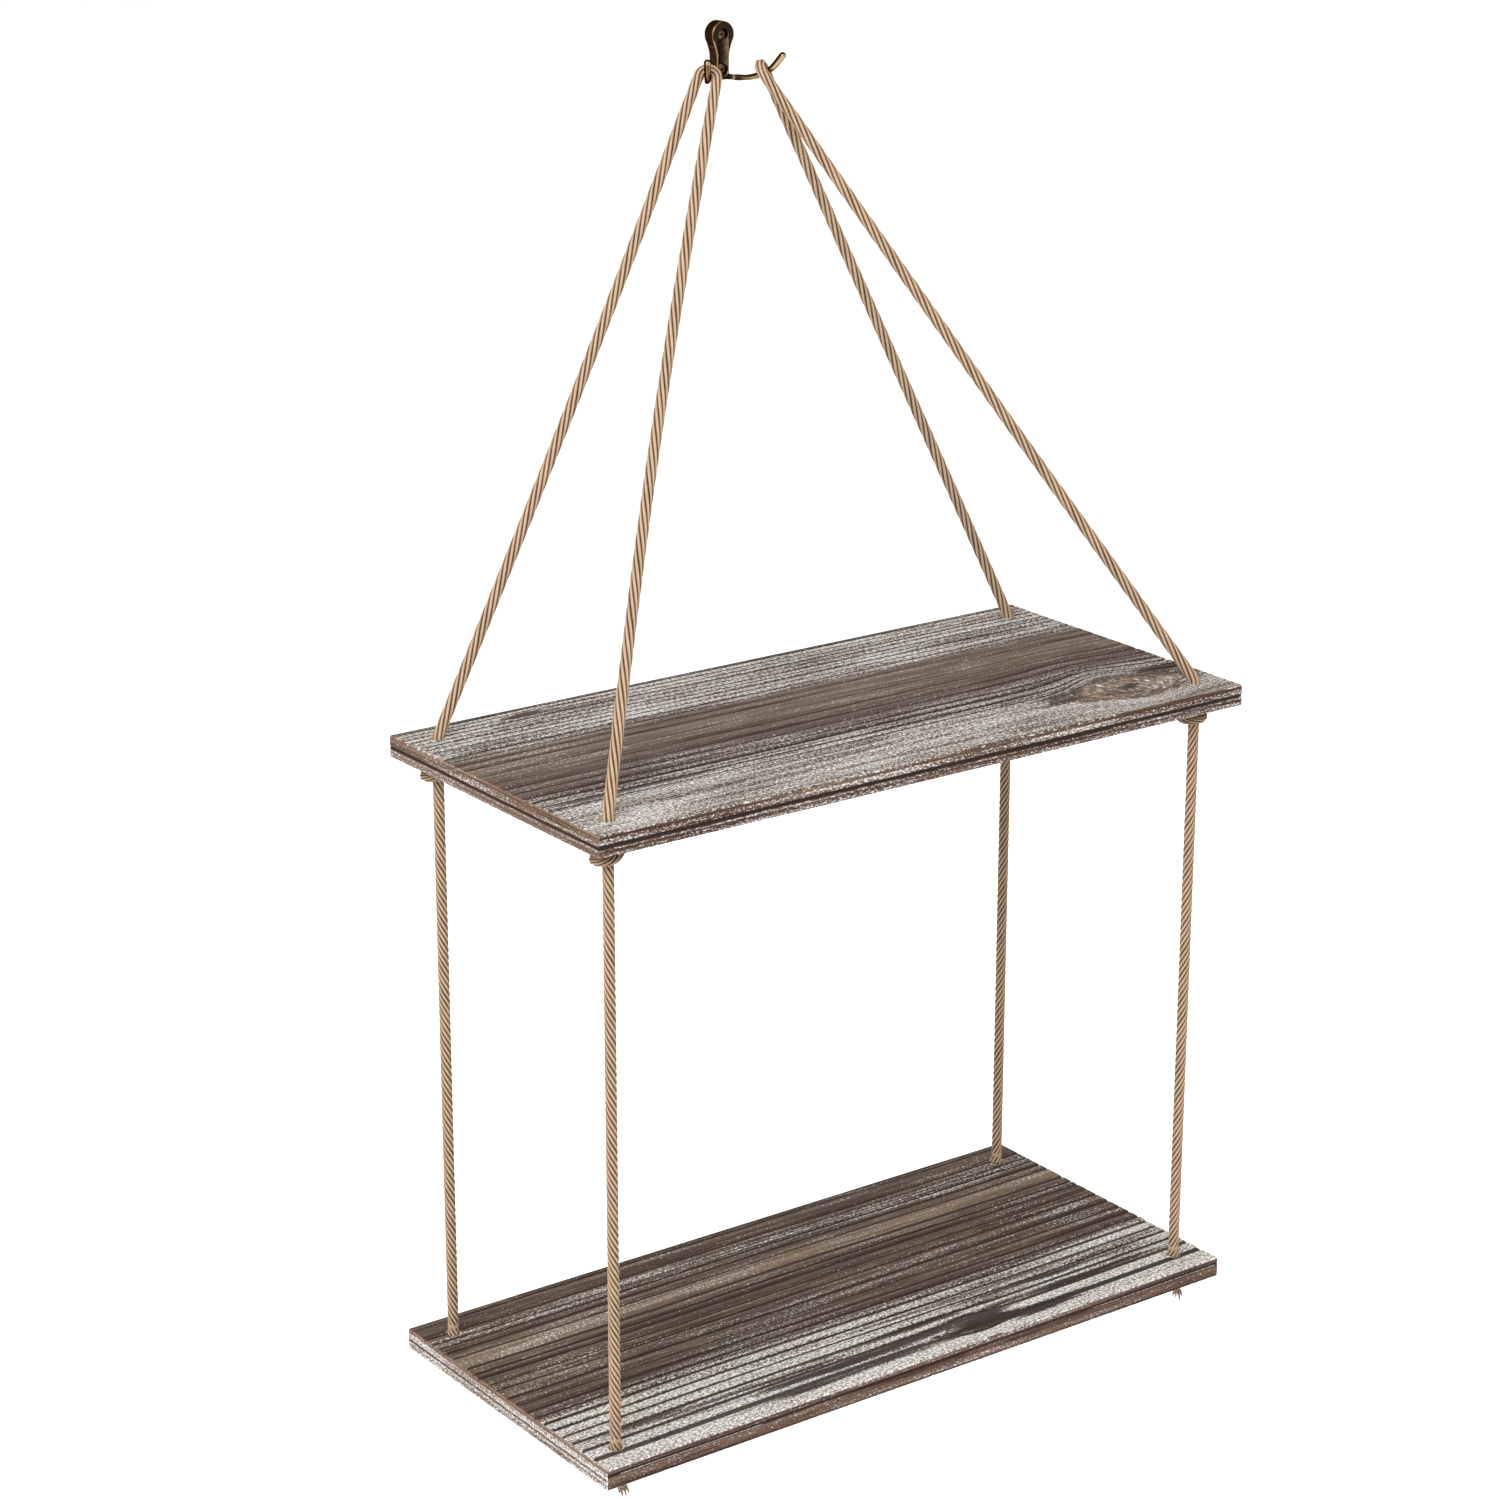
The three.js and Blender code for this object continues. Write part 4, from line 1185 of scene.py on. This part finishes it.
def wood_material(name, bands, span, shift, eyes=(), smears=(), edge=False):
    """Board wood whose whitewash, tone and lines follow bands across one span."""
    settings = bpy.context.scene.rope_shelf.board
    bare, torched = (settings.edge_bare, settings.edge_torched) if edge else (settings.bare, settings.torched)
    material, tree, shader = new_material(name, Specular_IOR_Level=0.18)
    uv, place = add_node(tree, "UVMap", uv_map="grain"), object_place(tree)
    sway = 0.03 if edge else 0.06
    across = add_node(tree, "SeparateXYZ", {0: uv})[1].math("DIVIDE", span)
    across = across + stretched_noise(tree, uv, (5.0, 1.0, 1.0), 2.0).scaled(sway, -sway / 2)
    wash, tone, line = band_ramp(tree, across, bands)
    line = line.math("MAXIMUM", add_node(tree, "Attribute", attribute_name="groove")["Fac"])

    def mark(group_name, maker, centre_x, centre_y, half_length, half_width):
        stretch = (1 / half_length, 1 / half_width, 0)
        inputs = {"Place": place, "Centre": (centre_x, centre_y, 0), "Stretch": stretch}
        return place_group(tree, group_name, maker, inputs)

    for place_and_size in eyes:
        eye = mark("Grain Eye", eye_group, *place_and_size)
        wash = wash * eye["Mask"].scaled(-0.60, 1.0)
        tone = eye["Mask"].blend(tone, eye["Tone"])
        line = eye["Mask"].blend(line, eye["Line"])
    for *place_and_size, dark in smears:
        smear = mark("Dark Smear", smear_group, *place_and_size)
        wash = wash * smear.scaled(-dark, 1.0)
        tone = tone * smear.scaled(-dark, 1.0)
        line = line.math("MAXIMUM", smear * (dark * 0.6))
    wood = place_group(tree, "Worn Whitewash", whitewash_group, {
        "Grain": add_node(tree, "Mapping", {"Vector": uv, "Location": (shift, shift * 0.37, 0)}),
        "Wash": wash, "Tone": tone, "Line": line, "Paint": settings.paint,
        "Bare": bare, "Torched": torched, "Burnt": settings.burnt,
    })
    finish_shader(tree, shader, wood, 0.5, 0.0005)
    return material


def bore_material():
    """Raw dark wood inside the holes."""
    material, tree, shader = new_material("Bored Wood", Roughness=0.9)
    rough = stretched_noise(tree, object_place(tree), (300.0, 900.0, 900.0), 3.0, 0.6)
    feed(shader.inputs["Base Color"], rough.blend_colours((0.55, 0.47, 0.38), (0.90, 0.85, 0.78)))
    add_bump(tree, shader, rough, 0.4, 0.0003)
    return material


# ---------------------------------------------------------------- hook


def bronze_group(name):
    """Dark bronze that is worn bright here and there, and carries painted highlights where the mesh asks for them."""
    group, start = open_group(name, {
        "Place": (0, 0, 0), "Rub": 0.0, "Dark": (0.05, 0.03, 0.02, 1), "Bright": (0.5, 0.3, 0.2, 1),
    })
    cloud = stretched_noise(group, start["Place"], (300.0, 300.0, 300.0), 4.0, 0.6)
    grit = stretched_noise(group, start["Place"], (2600.0, 2600.0, 2600.0), 2.0, 0.6)
    rub_and_highlight = (start["Rub"] + grit.scaled(0.9, -0.45) + cloud.scaled(0.5, -0.25)).soft_step(0.08, 0.80)
    rub_and_highlight = rub_and_highlight.math("MAXIMUM", grit.soft_step(0.64, 0.74, 0.0, 0.30))
    return close_group(group, {
        "Color": rub_and_highlight.blend_colours(start["Dark"], start["Bright"]),
        "Roughness": rub_and_highlight.scaled(-0.26, 0.48) + cloud.scaled(0.2, -0.1),
        "Height": cloud + grit * 0.4,
    })


def bronze_material(name, dark, bright, metallic):
    """Bronze whose worn places and painted highlights follow the share of bright metal painted on the mesh."""
    material, tree, shader = new_material(name, Metallic=metallic, Specular_Tint=(0.42, 0.28, 0.17))
    bronze = place_group(tree, "Rubbed Bronze", bronze_group, {
        "Place": object_place(tree), "Rub": add_node(tree, "Attribute", attribute_name="wear")["Fac"],
        "Dark": dark, "Bright": bright,
    })
    finish_shader(tree, shader, bronze, 0.25, 0.0001)
    return material


def bake_modifiers(obj):
    """Makes what an object's modifiers give into its own mesh."""
    depsgraph = bpy.context.evaluated_depsgraph_get()
    mesh = bpy.data.meshes.new_from_object(obj.evaluated_get(depsgraph))
    obj.modifiers.clear()
    old, obj.data = obj.data, mesh
    mesh.name = obj.name
    bpy.data.meshes.remove(old)


def cut_away(obj, cutter):
    """Cuts one closed shape out of another and removes the cutter."""
    cut = obj.modifiers.new("Cut", "BOOLEAN")
    cut.operation, cut.solver, cut.object = "DIFFERENCE", "EXACT", cutter
    cut.material_mode = "TRANSFER" if cutter.data.materials else "INDEX"
    bake_modifiers(obj)
    bpy.data.objects.remove(cutter)


def hook_casting(name, material):
    """The hook's solid rebuilt in fine even faces, its edges softened and worn bright, with painted highlights on the
    prongs, the channel and the left front rim.
    """
    bm = copied_mesh(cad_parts["hook"])
    bmesh.ops.remove_doubles(bm, verts=bm.verts, dist=WELD)
    for face in bm.faces:
        face.material_index = 0
    obj = finish_mesh(bm, name, [material])
    even = obj.modifiers.new("Even Faces", "REMESH")
    even.mode, even.voxel_size = "VOXEL", CASTING_FACE
    soften = obj.modifiers.new("Soft Edges", "SMOOTH")
    soften.factor, soften.iterations = 0.5, 3
    bake_modifiers(obj)
    if not obj.data.materials:
        obj.data.materials.append(material)
    bm = copied_mesh(obj)
    wear = bm.verts.layers.float.new("wear")
    for vert in bm.verts:
        vert[wear] = hook_wear_and_highlight(vert)
    for vert in bm.verts:
        inside, under, outside = (
            ramp(abs(vert.co.x), *reach) for reach in (PRONG_FILLED_INSIDE, PRONG_UNDER_CORD, PRONG_FILLED_OUTSIDE)
        )
        vert.co += vert.normal * PRONG_FILLING * (inside - under + outside)
    bm.to_mesh(obj.data)
    bm.free()
    obj.data.shade_smooth()
    return obj


def hook_wear_and_highlight(vert):
    """How far the dark finish of the hook is worn through at a vert, or painted bright as a highlight, from 0 to 1."""
    x, y, z = vert.co
    around = [edge.other_vert(vert).co for edge in vert.link_edges]
    rounding = (vert.co - sum(around, Vector()) / len(around)).dot(vert.normal) / CASTING_FACE
    if abs(x) > PLATE_HALF_WIDTH + PLATE_MARGIN or y < PLATE_FRONT - PLATE_MARGIN:
        # painted highlight: each prong is made bright on the side that faces the room, a little left and down, fading
        # out towards its root
        facing = vert.normal.dot(Vector((-0.35, -0.90, -0.25)))
        return 0.95 * ramp(facing, 0.58, 0.98) * ramp(abs(x), 0.009, 0.014)
    # painted highlight: the channel between the screws grows brighter towards its right wall
    in_channel = abs(x) < CHANNEL_HALF_WIDTH and PLATE_FRONT + 0.0002 < y < PLATE_FRONT + 0.003
    if in_channel and abs(z) < SCREW_LEVEL and vert.normal.y < -0.2:
        return 0.38 * ramp(x, 0.0006, 0.0030)
    edge = ramp(rounding, 0.05, 0.16)
    slant = ramp(-vert.normal.y, 0.20, 0.40) * ramp(0.97 + vert.normal.y, 0.0, 0.12)
    # painted highlight: a bright line along the left front rim, strong below the waist and paler above it
    if vert.normal.x < -0.1 and y < PLATE_FRONT + 0.0012:
        return slant * (0.85 if z < PLATE_WAIST_LEVEL + 0.003 else 0.40)
    if abs(vert.normal.y) < 0.4 and z < PLATE_WAIST_LEVEL:
        return 0.12 + 0.3 * edge
    return 0.45 * edge


def ramp(value, low, high):
    """0 below low, 1 above high, and even between them."""
    return min(max((value - low) / (high - low), 0.0), 1.0)


def oval_screw(name, level, material):
    """An oval-head screw with a crossed recess and a cut thread."""
    bm = bmesh.new()
    profile = [bm.verts.new((radius, y, level)) for radius, y in SCREW_PROFILE]
    edges = [bm.edges.new(pair) for pair in pairwise(profile)]
    bmesh.ops.spin(bm, geom=[*profile, *edges], cent=(0, 0, level), axis=(0, 1, 0), steps=ROUND_SIDES,
                   angle=2 * math.pi, use_merge=True)
    bmesh.ops.remove_doubles(bm, verts=bm.verts, dist=2 * WELD)
    blank = finish_mesh(bm, f"{name}_blank", [material])
    cut_away(blank, crossed_cutter(level))
    bm = copied_mesh(blank)
    bpy.data.meshes.remove(blank.data)
    wear = bm.verts.layers.float.new("wear")
    for vert in bm.verts:
        radius = math.hypot(vert.co.x, vert.co.z - level)
        in_recess = radius < RECESS_DARK_RADIUS and RECESS_TAPER[1][0] < vert.co.y < RECESS_DARK_FLOOR
        vert[wear] = 0.0 if in_recess and vert.normal.y > -0.9 else SCREW_WEAR
    ring = bmesh.ops.create_circle(bm, segments=len(THREAD_SECTION), radius=1)["verts"]
    for vert, (radius, y) in zip(ring, THREAD_SECTION):
        vert.co = (radius, y, 0)
        vert[wear] = SCREW_WEAR
    count = round((THREAD_END - THREAD_START) / THREAD_PITCH * THREAD_STEPS)
    placements = []
    for number in range(count + 1):
        y = THREAD_START + (THREAD_END - THREAD_START) * number / count
        growing = THREAD_FIRST_GIRTH + number / THREAD_GROWTH_STEPS
        girth = min(1.0, growing, THREAD_LAST_GIRTH + (THREAD_END - y) / THREAD_POINT)
        turn = Matrix.Rotation(2 * math.pi * number / THREAD_STEPS, 4, "Y")
        placements.append(Matrix.Translation((0, y, level)) @ turn @ Matrix.Diagonal((girth, 1, girth, 1)))
    sweep(bm, ring, placements)
    return finish_mesh(bm, name, [material], SMOOTH_SCREW)


def crossed_cutter(level):
    """A tapering cross that cuts a screw head's recess."""
    bm = bmesh.new()
    ring = bmesh.ops.create_circle(bm, segments=12, radius=1)["verts"]
    arm, slot = RECESS_HALF_SPAN, RECESS_HALF_SLOT
    for number, vert in enumerate(ring):
        quarter, corner = divmod(number, 3)
        turned = Matrix.Rotation(quarter * math.pi / 2, 2) @ Vector(((arm, slot), (slot, slot), (slot, arm))[corner])
        vert.co = (turned.x, 0, turned.y)
    sweep(bm, ring, [
        Matrix.Translation((0, y, level)) @ Matrix.Diagonal((taper, 1, taper, 1)) for y, taper in RECESS_TAPER
    ])
    return finish_mesh(bm, "recess_cutter", [])


# ---------------------------------------------------------------- operators


class SHELF_OT_stage(bpy.types.Operator):
    """Sets up the floor, the light and the camera"""

    bl_idname = "rope_shelf.stage"
    bl_label = "Stage"

    def execute(self, context):
        scene, settings = context.scene, context.scene.rope_shelf.stage
        self.make_camera(scene)
        self.make_world(scene, settings)
        self.make_floor(settings)
        self.make_wall_patch()
        for name, place in LIGHT_PLACES.items():
            light = bpy.data.lights.new(f"{name.title()} Light", "AREA")
            light.shape, light.size, light.energy = "DISK", LIGHT_SIZE, getattr(settings, f"{name}_power")
            obj = bpy.data.objects.new(light.name, light)
            obj.location = place
            obj.rotation_euler = (LIGHT_TARGET - obj.location).to_track_quat("-Z", "Y").to_euler()
            scene.collection.objects.link(obj)
        scene.view_settings.view_transform = "Standard"
        return {"FINISHED"}

    def make_camera(self, scene):
        camera = bpy.data.objects.new("Camera", bpy.data.cameras.new("Camera"))
        camera.location = CAMERA_PLACE
        camera.rotation_euler = [math.radians(angle) for angle in CAMERA_TURN]
        camera.data.lens, camera.data.sensor_width = CAMERA_LENS, 36
        camera.data.clip_start, camera.data.clip_end = 0.05, 50
        scene.collection.objects.link(camera)
        scene.camera = camera

    def make_world(self, scene, settings):
        scene.world = bpy.data.worlds.new("Plain Sky")
        scene.world.use_nodes = True
        back = scene.world.node_tree.nodes["Background"]
        feed(back.inputs["Color"], (1, 1, 1, 1))
        feed(back.inputs["Strength"], seen_directly(scene.world.node_tree).scaled(1 - settings.sky, settings.sky))

    def make_floor(self, settings):
        material, tree, shader = new_material(
            "Plain Floor", Base_Color=settings.floor_colour, Roughness=0.9, Emission_Color=(1, 1, 1, 1)
        )
        feed(shader.inputs["Emission Strength"], seen_directly(tree) * FLOOR_GLOW)
        level = Matrix.Translation((0, 0, cad_box[0].z - settings.floor_drop))
        stage_sheet("floor", FLOOR_HALF, level, material, 1.0, Signal(shader.outputs[0]))

    def make_wall_patch(self):
        """The bit of wall that hides the screws' shanks from the room, clear to every ray but the camera's."""
        material, tree, shader = new_material("Plain Wall")
        tree.nodes.remove(shader)
        plain = add_node(tree, "Emission", {"Color": (1, 1, 1, 1), "Strength": 1.0})
        upright = Matrix.Translation((0, SEAT_GAP, WALL_PATCH_LEVEL)) @ Matrix.Rotation(math.pi / 2, 4, "X")
        seen = add_node(tree, "LightPath")["Is Camera Ray"]
        stage_sheet("wall_patch", WALL_PATCH_HALF, upright, material, seen, plain)


def stage_sheet(name, half, placement, material, shown, surface):
    """A square sheet of the stage, clear from behind, so that the shelf can be looked at from there."""
    tree = material.node_tree
    front = add_node(tree, "NewGeometry")["Backfacing"].scaled(-1.0, shown).clamped()
    mix = add_node(tree, "MixShader", {0: front, 1: add_node(tree, "BsdfTransparent"), 2: surface})
    feed(tree.nodes["Material Output"].inputs["Surface"], mix)
    bm = bmesh.new()
    bmesh.ops.create_grid(bm, x_segments=1, y_segments=1, size=half, matrix=placement)
    sheet = mesh_object(bm, name, [material])


def seen_directly(tree):
    """1 where the camera sees a thing straight, or in a reflection, or through glass."""
    path = add_node(tree, "LightPath")
    straight = path["Is Camera Ray"].math("MAXIMUM", path["Is Glossy Ray"])
    return straight.math("MAXIMUM", path["Is Transmission Ray"])


class SHELF_OT_boards(bpy.types.Operator):
    """Cuts and finishes both boards"""

    bl_idname = "rope_shelf.boards"
    bl_label = "Boards"

    def execute(self, context):
        bore = bore_material()
        for name, low, high, lines, rows, eyes, smears, bands, edges, ends, seed in (
            ("board_upper", UPPER_LOW, UPPER_HIGH, UPPER_TOP_LINES, UPPER_EDGE_ROWS, UPPER_EYES,
             UPPER_SMEARS, UPPER_TOP_BANDS, UPPER_EDGE_BANDS, UPPER_END_BANDS, 1.0),
            ("board_lower", LOWER_LOW, LOWER_HIGH, LOWER_TOP_LINES, LOWER_EDGE_ROWS, LOWER_EYES,
             LOWER_SMEARS, LOWER_TOP_BANDS, LOWER_EDGE_BANDS, LOWER_END_BANDS, 2.0),
        ):
            label = name.replace("_", " ").title()
            top = wood_material(f"Whitewashed Top {label}", bands, BOARD_DEPTH, seed, eyes, smears)
            underside = wood_material(f"Whitewashed Underside {label}", UNDERSIDE_BANDS, BOARD_DEPTH, seed + 3)
            edge = wood_material(f"Striped Edge {label}", edges, BOARD_THICKNESS, seed + 7, edge=True)
            end = wood_material(f"Striped End {label}", ends, BOARD_THICKNESS, seed + 8, edge=True)
            obj = wood_board(
                f"shelf_{name}", low, high, lines, rows, eyes, seed, [top, underside, edge, end, bore]
            )
            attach(obj, "upper_tier" if name == "board_upper" else "lower_tier")
            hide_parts(name)
        return {"FINISHED"}


class SHELF_OT_hook(bpy.types.Operator):
    """Finishes the wall hook and its screws"""

    bl_idname = "rope_shelf.hook"
    bl_label = "Hook and Screws"

    def execute(self, context):
        settings = context.scene.rope_shelf.hook
        # the bright colour serves both the worn places and the painted highlights
        bronze = bronze_material("Antique Bronze", settings.bronze, settings.rubbed_and_highlight, 1.0)
        brass = bronze_material("Aged Brass", settings.bronze, settings.brass, 0.6)
        pieces = [(hook_casting("wall_hook_casting", bronze), "hook", "hook")]
        for node, level in (("screw_upper", SCREW_LEVEL), ("screw_lower", -SCREW_LEVEL)):
            pieces.append((oval_screw(f"oval_{node}", level, brass), node, "screw"))
        for piece, node, slot in pieces:
            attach(piece, "wall_hook")
            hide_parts(node)
        return {"FINISHED"}


class SHELF_OT_slings(bpy.types.Operator):
    """Lays both slings over the hook's prongs"""

    bl_idname = "rope_shelf.slings"
    bl_label = "Slings"

    def execute(self, context):
        settings = context.scene.rope_shelf.cord
        for side_name, side in SIDES.items():
            node = f"sling_{side_name}"
            route = sling_route(side_name)
            # the load squeezes the cord where it lies on the prong
            squeezed = [1 - SADDLE_SQUEEZE * ramp(point.z, *SADDLE_LEVELS) for point in route]
            sling = laid_cord(f"cord_{node}", route, DRAWN_RADIUS, settings.sling_lead, side, scales=squeezed)
            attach(sling, "upper_tier")
            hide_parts(node)
        return {"FINISHED"}


class SHELF_OT_knots(bpy.types.Operator):
    """Ties the knots under the upper board"""

    bl_idname = "rope_shelf.knots"
    bl_label = "Upper Knots"

    def execute(self, context):
        for row, side_name in CORNERS:
            node = f"knot_{row}_{side_name}"
            knot = tied_knot(f"cord_{node}", "upper", row, side_name, spread=KNOT_SPREAD)
            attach(knot, "upper_tier")
            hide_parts(node)
        return {"FINISHED"}


class SHELF_OT_drops(bpy.types.Operator):
    """Hangs the four drops, each with its neck and its foot"""

    bl_idname = "rope_shelf.drops"
    bl_label = "Drops"

    def execute(self, context):
        knot_bottom = KNOT_LEVEL["upper"] - KNOT_END
        half = PIVOT_SPACING / 2
        neck_end = NECK_PIVOT - half
        drop_end = DROP_BOTTOM_PIVOT + half
        for row, side_name in CORNERS:
            corner = f"{row}_{side_name}"
            x, y = SIDES[side_name] * HOLE_X, HOLE_Y[row]
            neck = upright_cord(f"cord_neck_{corner}", row, side_name, knot_bottom + NECK_OVERLAP, neck_end)
            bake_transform(neck, "upper_tier", f"{row}_necks", (x, y, knot_bottom), (x, y, neck_end))
            drop = upright_cord(f"cord_drop_{corner}", row, side_name, neck_end, drop_end)
            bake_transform(drop, f"{row}_necks", f"drop_{corner}", (x, y, neck_end), (x, y, DROP_TOP_PIVOT - half))
            foot = upright_cord(f"cord_foot_{corner}", row, side_name, drop_end, FOOT_PIVOT, tongue_end=True)
            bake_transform(foot, f"drop_{corner}", f"foot_{corner}", (x, y, drop_end), (x, y, DROP_BOTTOM_PIVOT - half))
            for piece, node in ((neck, "neck"), (drop, "drop"), (foot, "foot")):
                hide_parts(f"{node}_{corner}")
        return {"FINISHED"}


class SHELF_OT_ends(bpy.types.Operator):
    """Ties and frays the four ends under the lower board"""

    bl_idname = "rope_shelf.ends"
    bl_label = "Cord Ends"

    def execute(self, context):
        tail_end = LOWER_LOW.z - TAIL_DROP - KNOT_LEVEL["lower"]
        tail_points = [(offset * TAIL_OFFSET, 0, drop * tail_end) for offset, drop in TAIL_ROUTE]
        for number, (row, side_name) in enumerate(CORNERS):
            corner = f"{row}_{side_name}"
            stub_end = KNOT_LEVEL["lower"] + KNOT_END - SEAT_GAP
            stub = upright_cord(f"cord_end_{corner}", row, side_name, FOOT_PIVOT, stub_end, tongue_start=True)
            knot = tied_knot(f"end_knot_{corner}", "lower", row, side_name, first=1)
            centre = hole_place(row, side_name, KNOT_LEVEL["lower"])
            route = [centre + point for point in smooth_route(tail_points, TAIL_STEP)]
            tail = frayed_tail(f"end_tail_{corner}", route, SIDES[side_name], number * 1.9 + 0.4)
            join_pieces(stub, knot, tail)
            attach(stub, "lower_tier")
            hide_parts(f"end_{corner}")
        return {"FINISHED"}


def join_pieces(first, *others):
    """Joins pieces of one cord into the first one's object."""
    with bpy.context.temp_override(
        active_object=first, object=first, selected_objects=[first, *others],
        selected_editable_objects=[first, *others],
    ):
        bpy.ops.object.join()


class SHELF_PT_panel(bpy.types.Panel):
    """Lists the shelf's pieces in the sidebar."""

    bl_idname = "SHELF_PT_panel"
    bl_label = "Rope Shelf"
    bl_space_type = "VIEW_3D"
    bl_region_type = "UI"
    bl_category = "Rope Shelf"

    def draw(self, context):
        settings = context.scene.rope_shelf
        for operator in OPERATORS:
            self.layout.operator(operator.bl_idname)
        for name in ("cord", "board", "hook", "stage"):
            box = self.layout.box()
            box.label(text=name.title())
            values = getattr(settings, name)
            for key in values.bl_rna.properties.keys():
                if key not in ("rna_type", "name"):
                    box.prop(values, key)


OPERATORS = (
    SHELF_OT_stage, SHELF_OT_slings, SHELF_OT_knots, SHELF_OT_drops, SHELF_OT_ends, SHELF_OT_boards, SHELF_OT_hook,
)
CLASSES = (CordSettings, BoardSettings, HookSettings, StageSettings, ShelfSettings, *OPERATORS, SHELF_PT_panel)


def register():
    for each in CLASSES:
        bpy.utils.register_class(each)
    bpy.types.Scene.rope_shelf = PointerProperty(type=ShelfSettings)


def unregister():
    del bpy.types.Scene.rope_shelf
    for each in reversed(CLASSES):
        bpy.utils.unregister_class(each)


def main():
    register()
    bpy.ops.rope_shelf.stage()
    bpy.ops.rope_shelf.slings()
    bpy.ops.rope_shelf.knots()
    bpy.ops.rope_shelf.drops()
    bpy.ops.rope_shelf.ends()
    bpy.ops.rope_shelf.boards()
    bpy.ops.rope_shelf.hook()


if __name__ == "__main__":
    main()
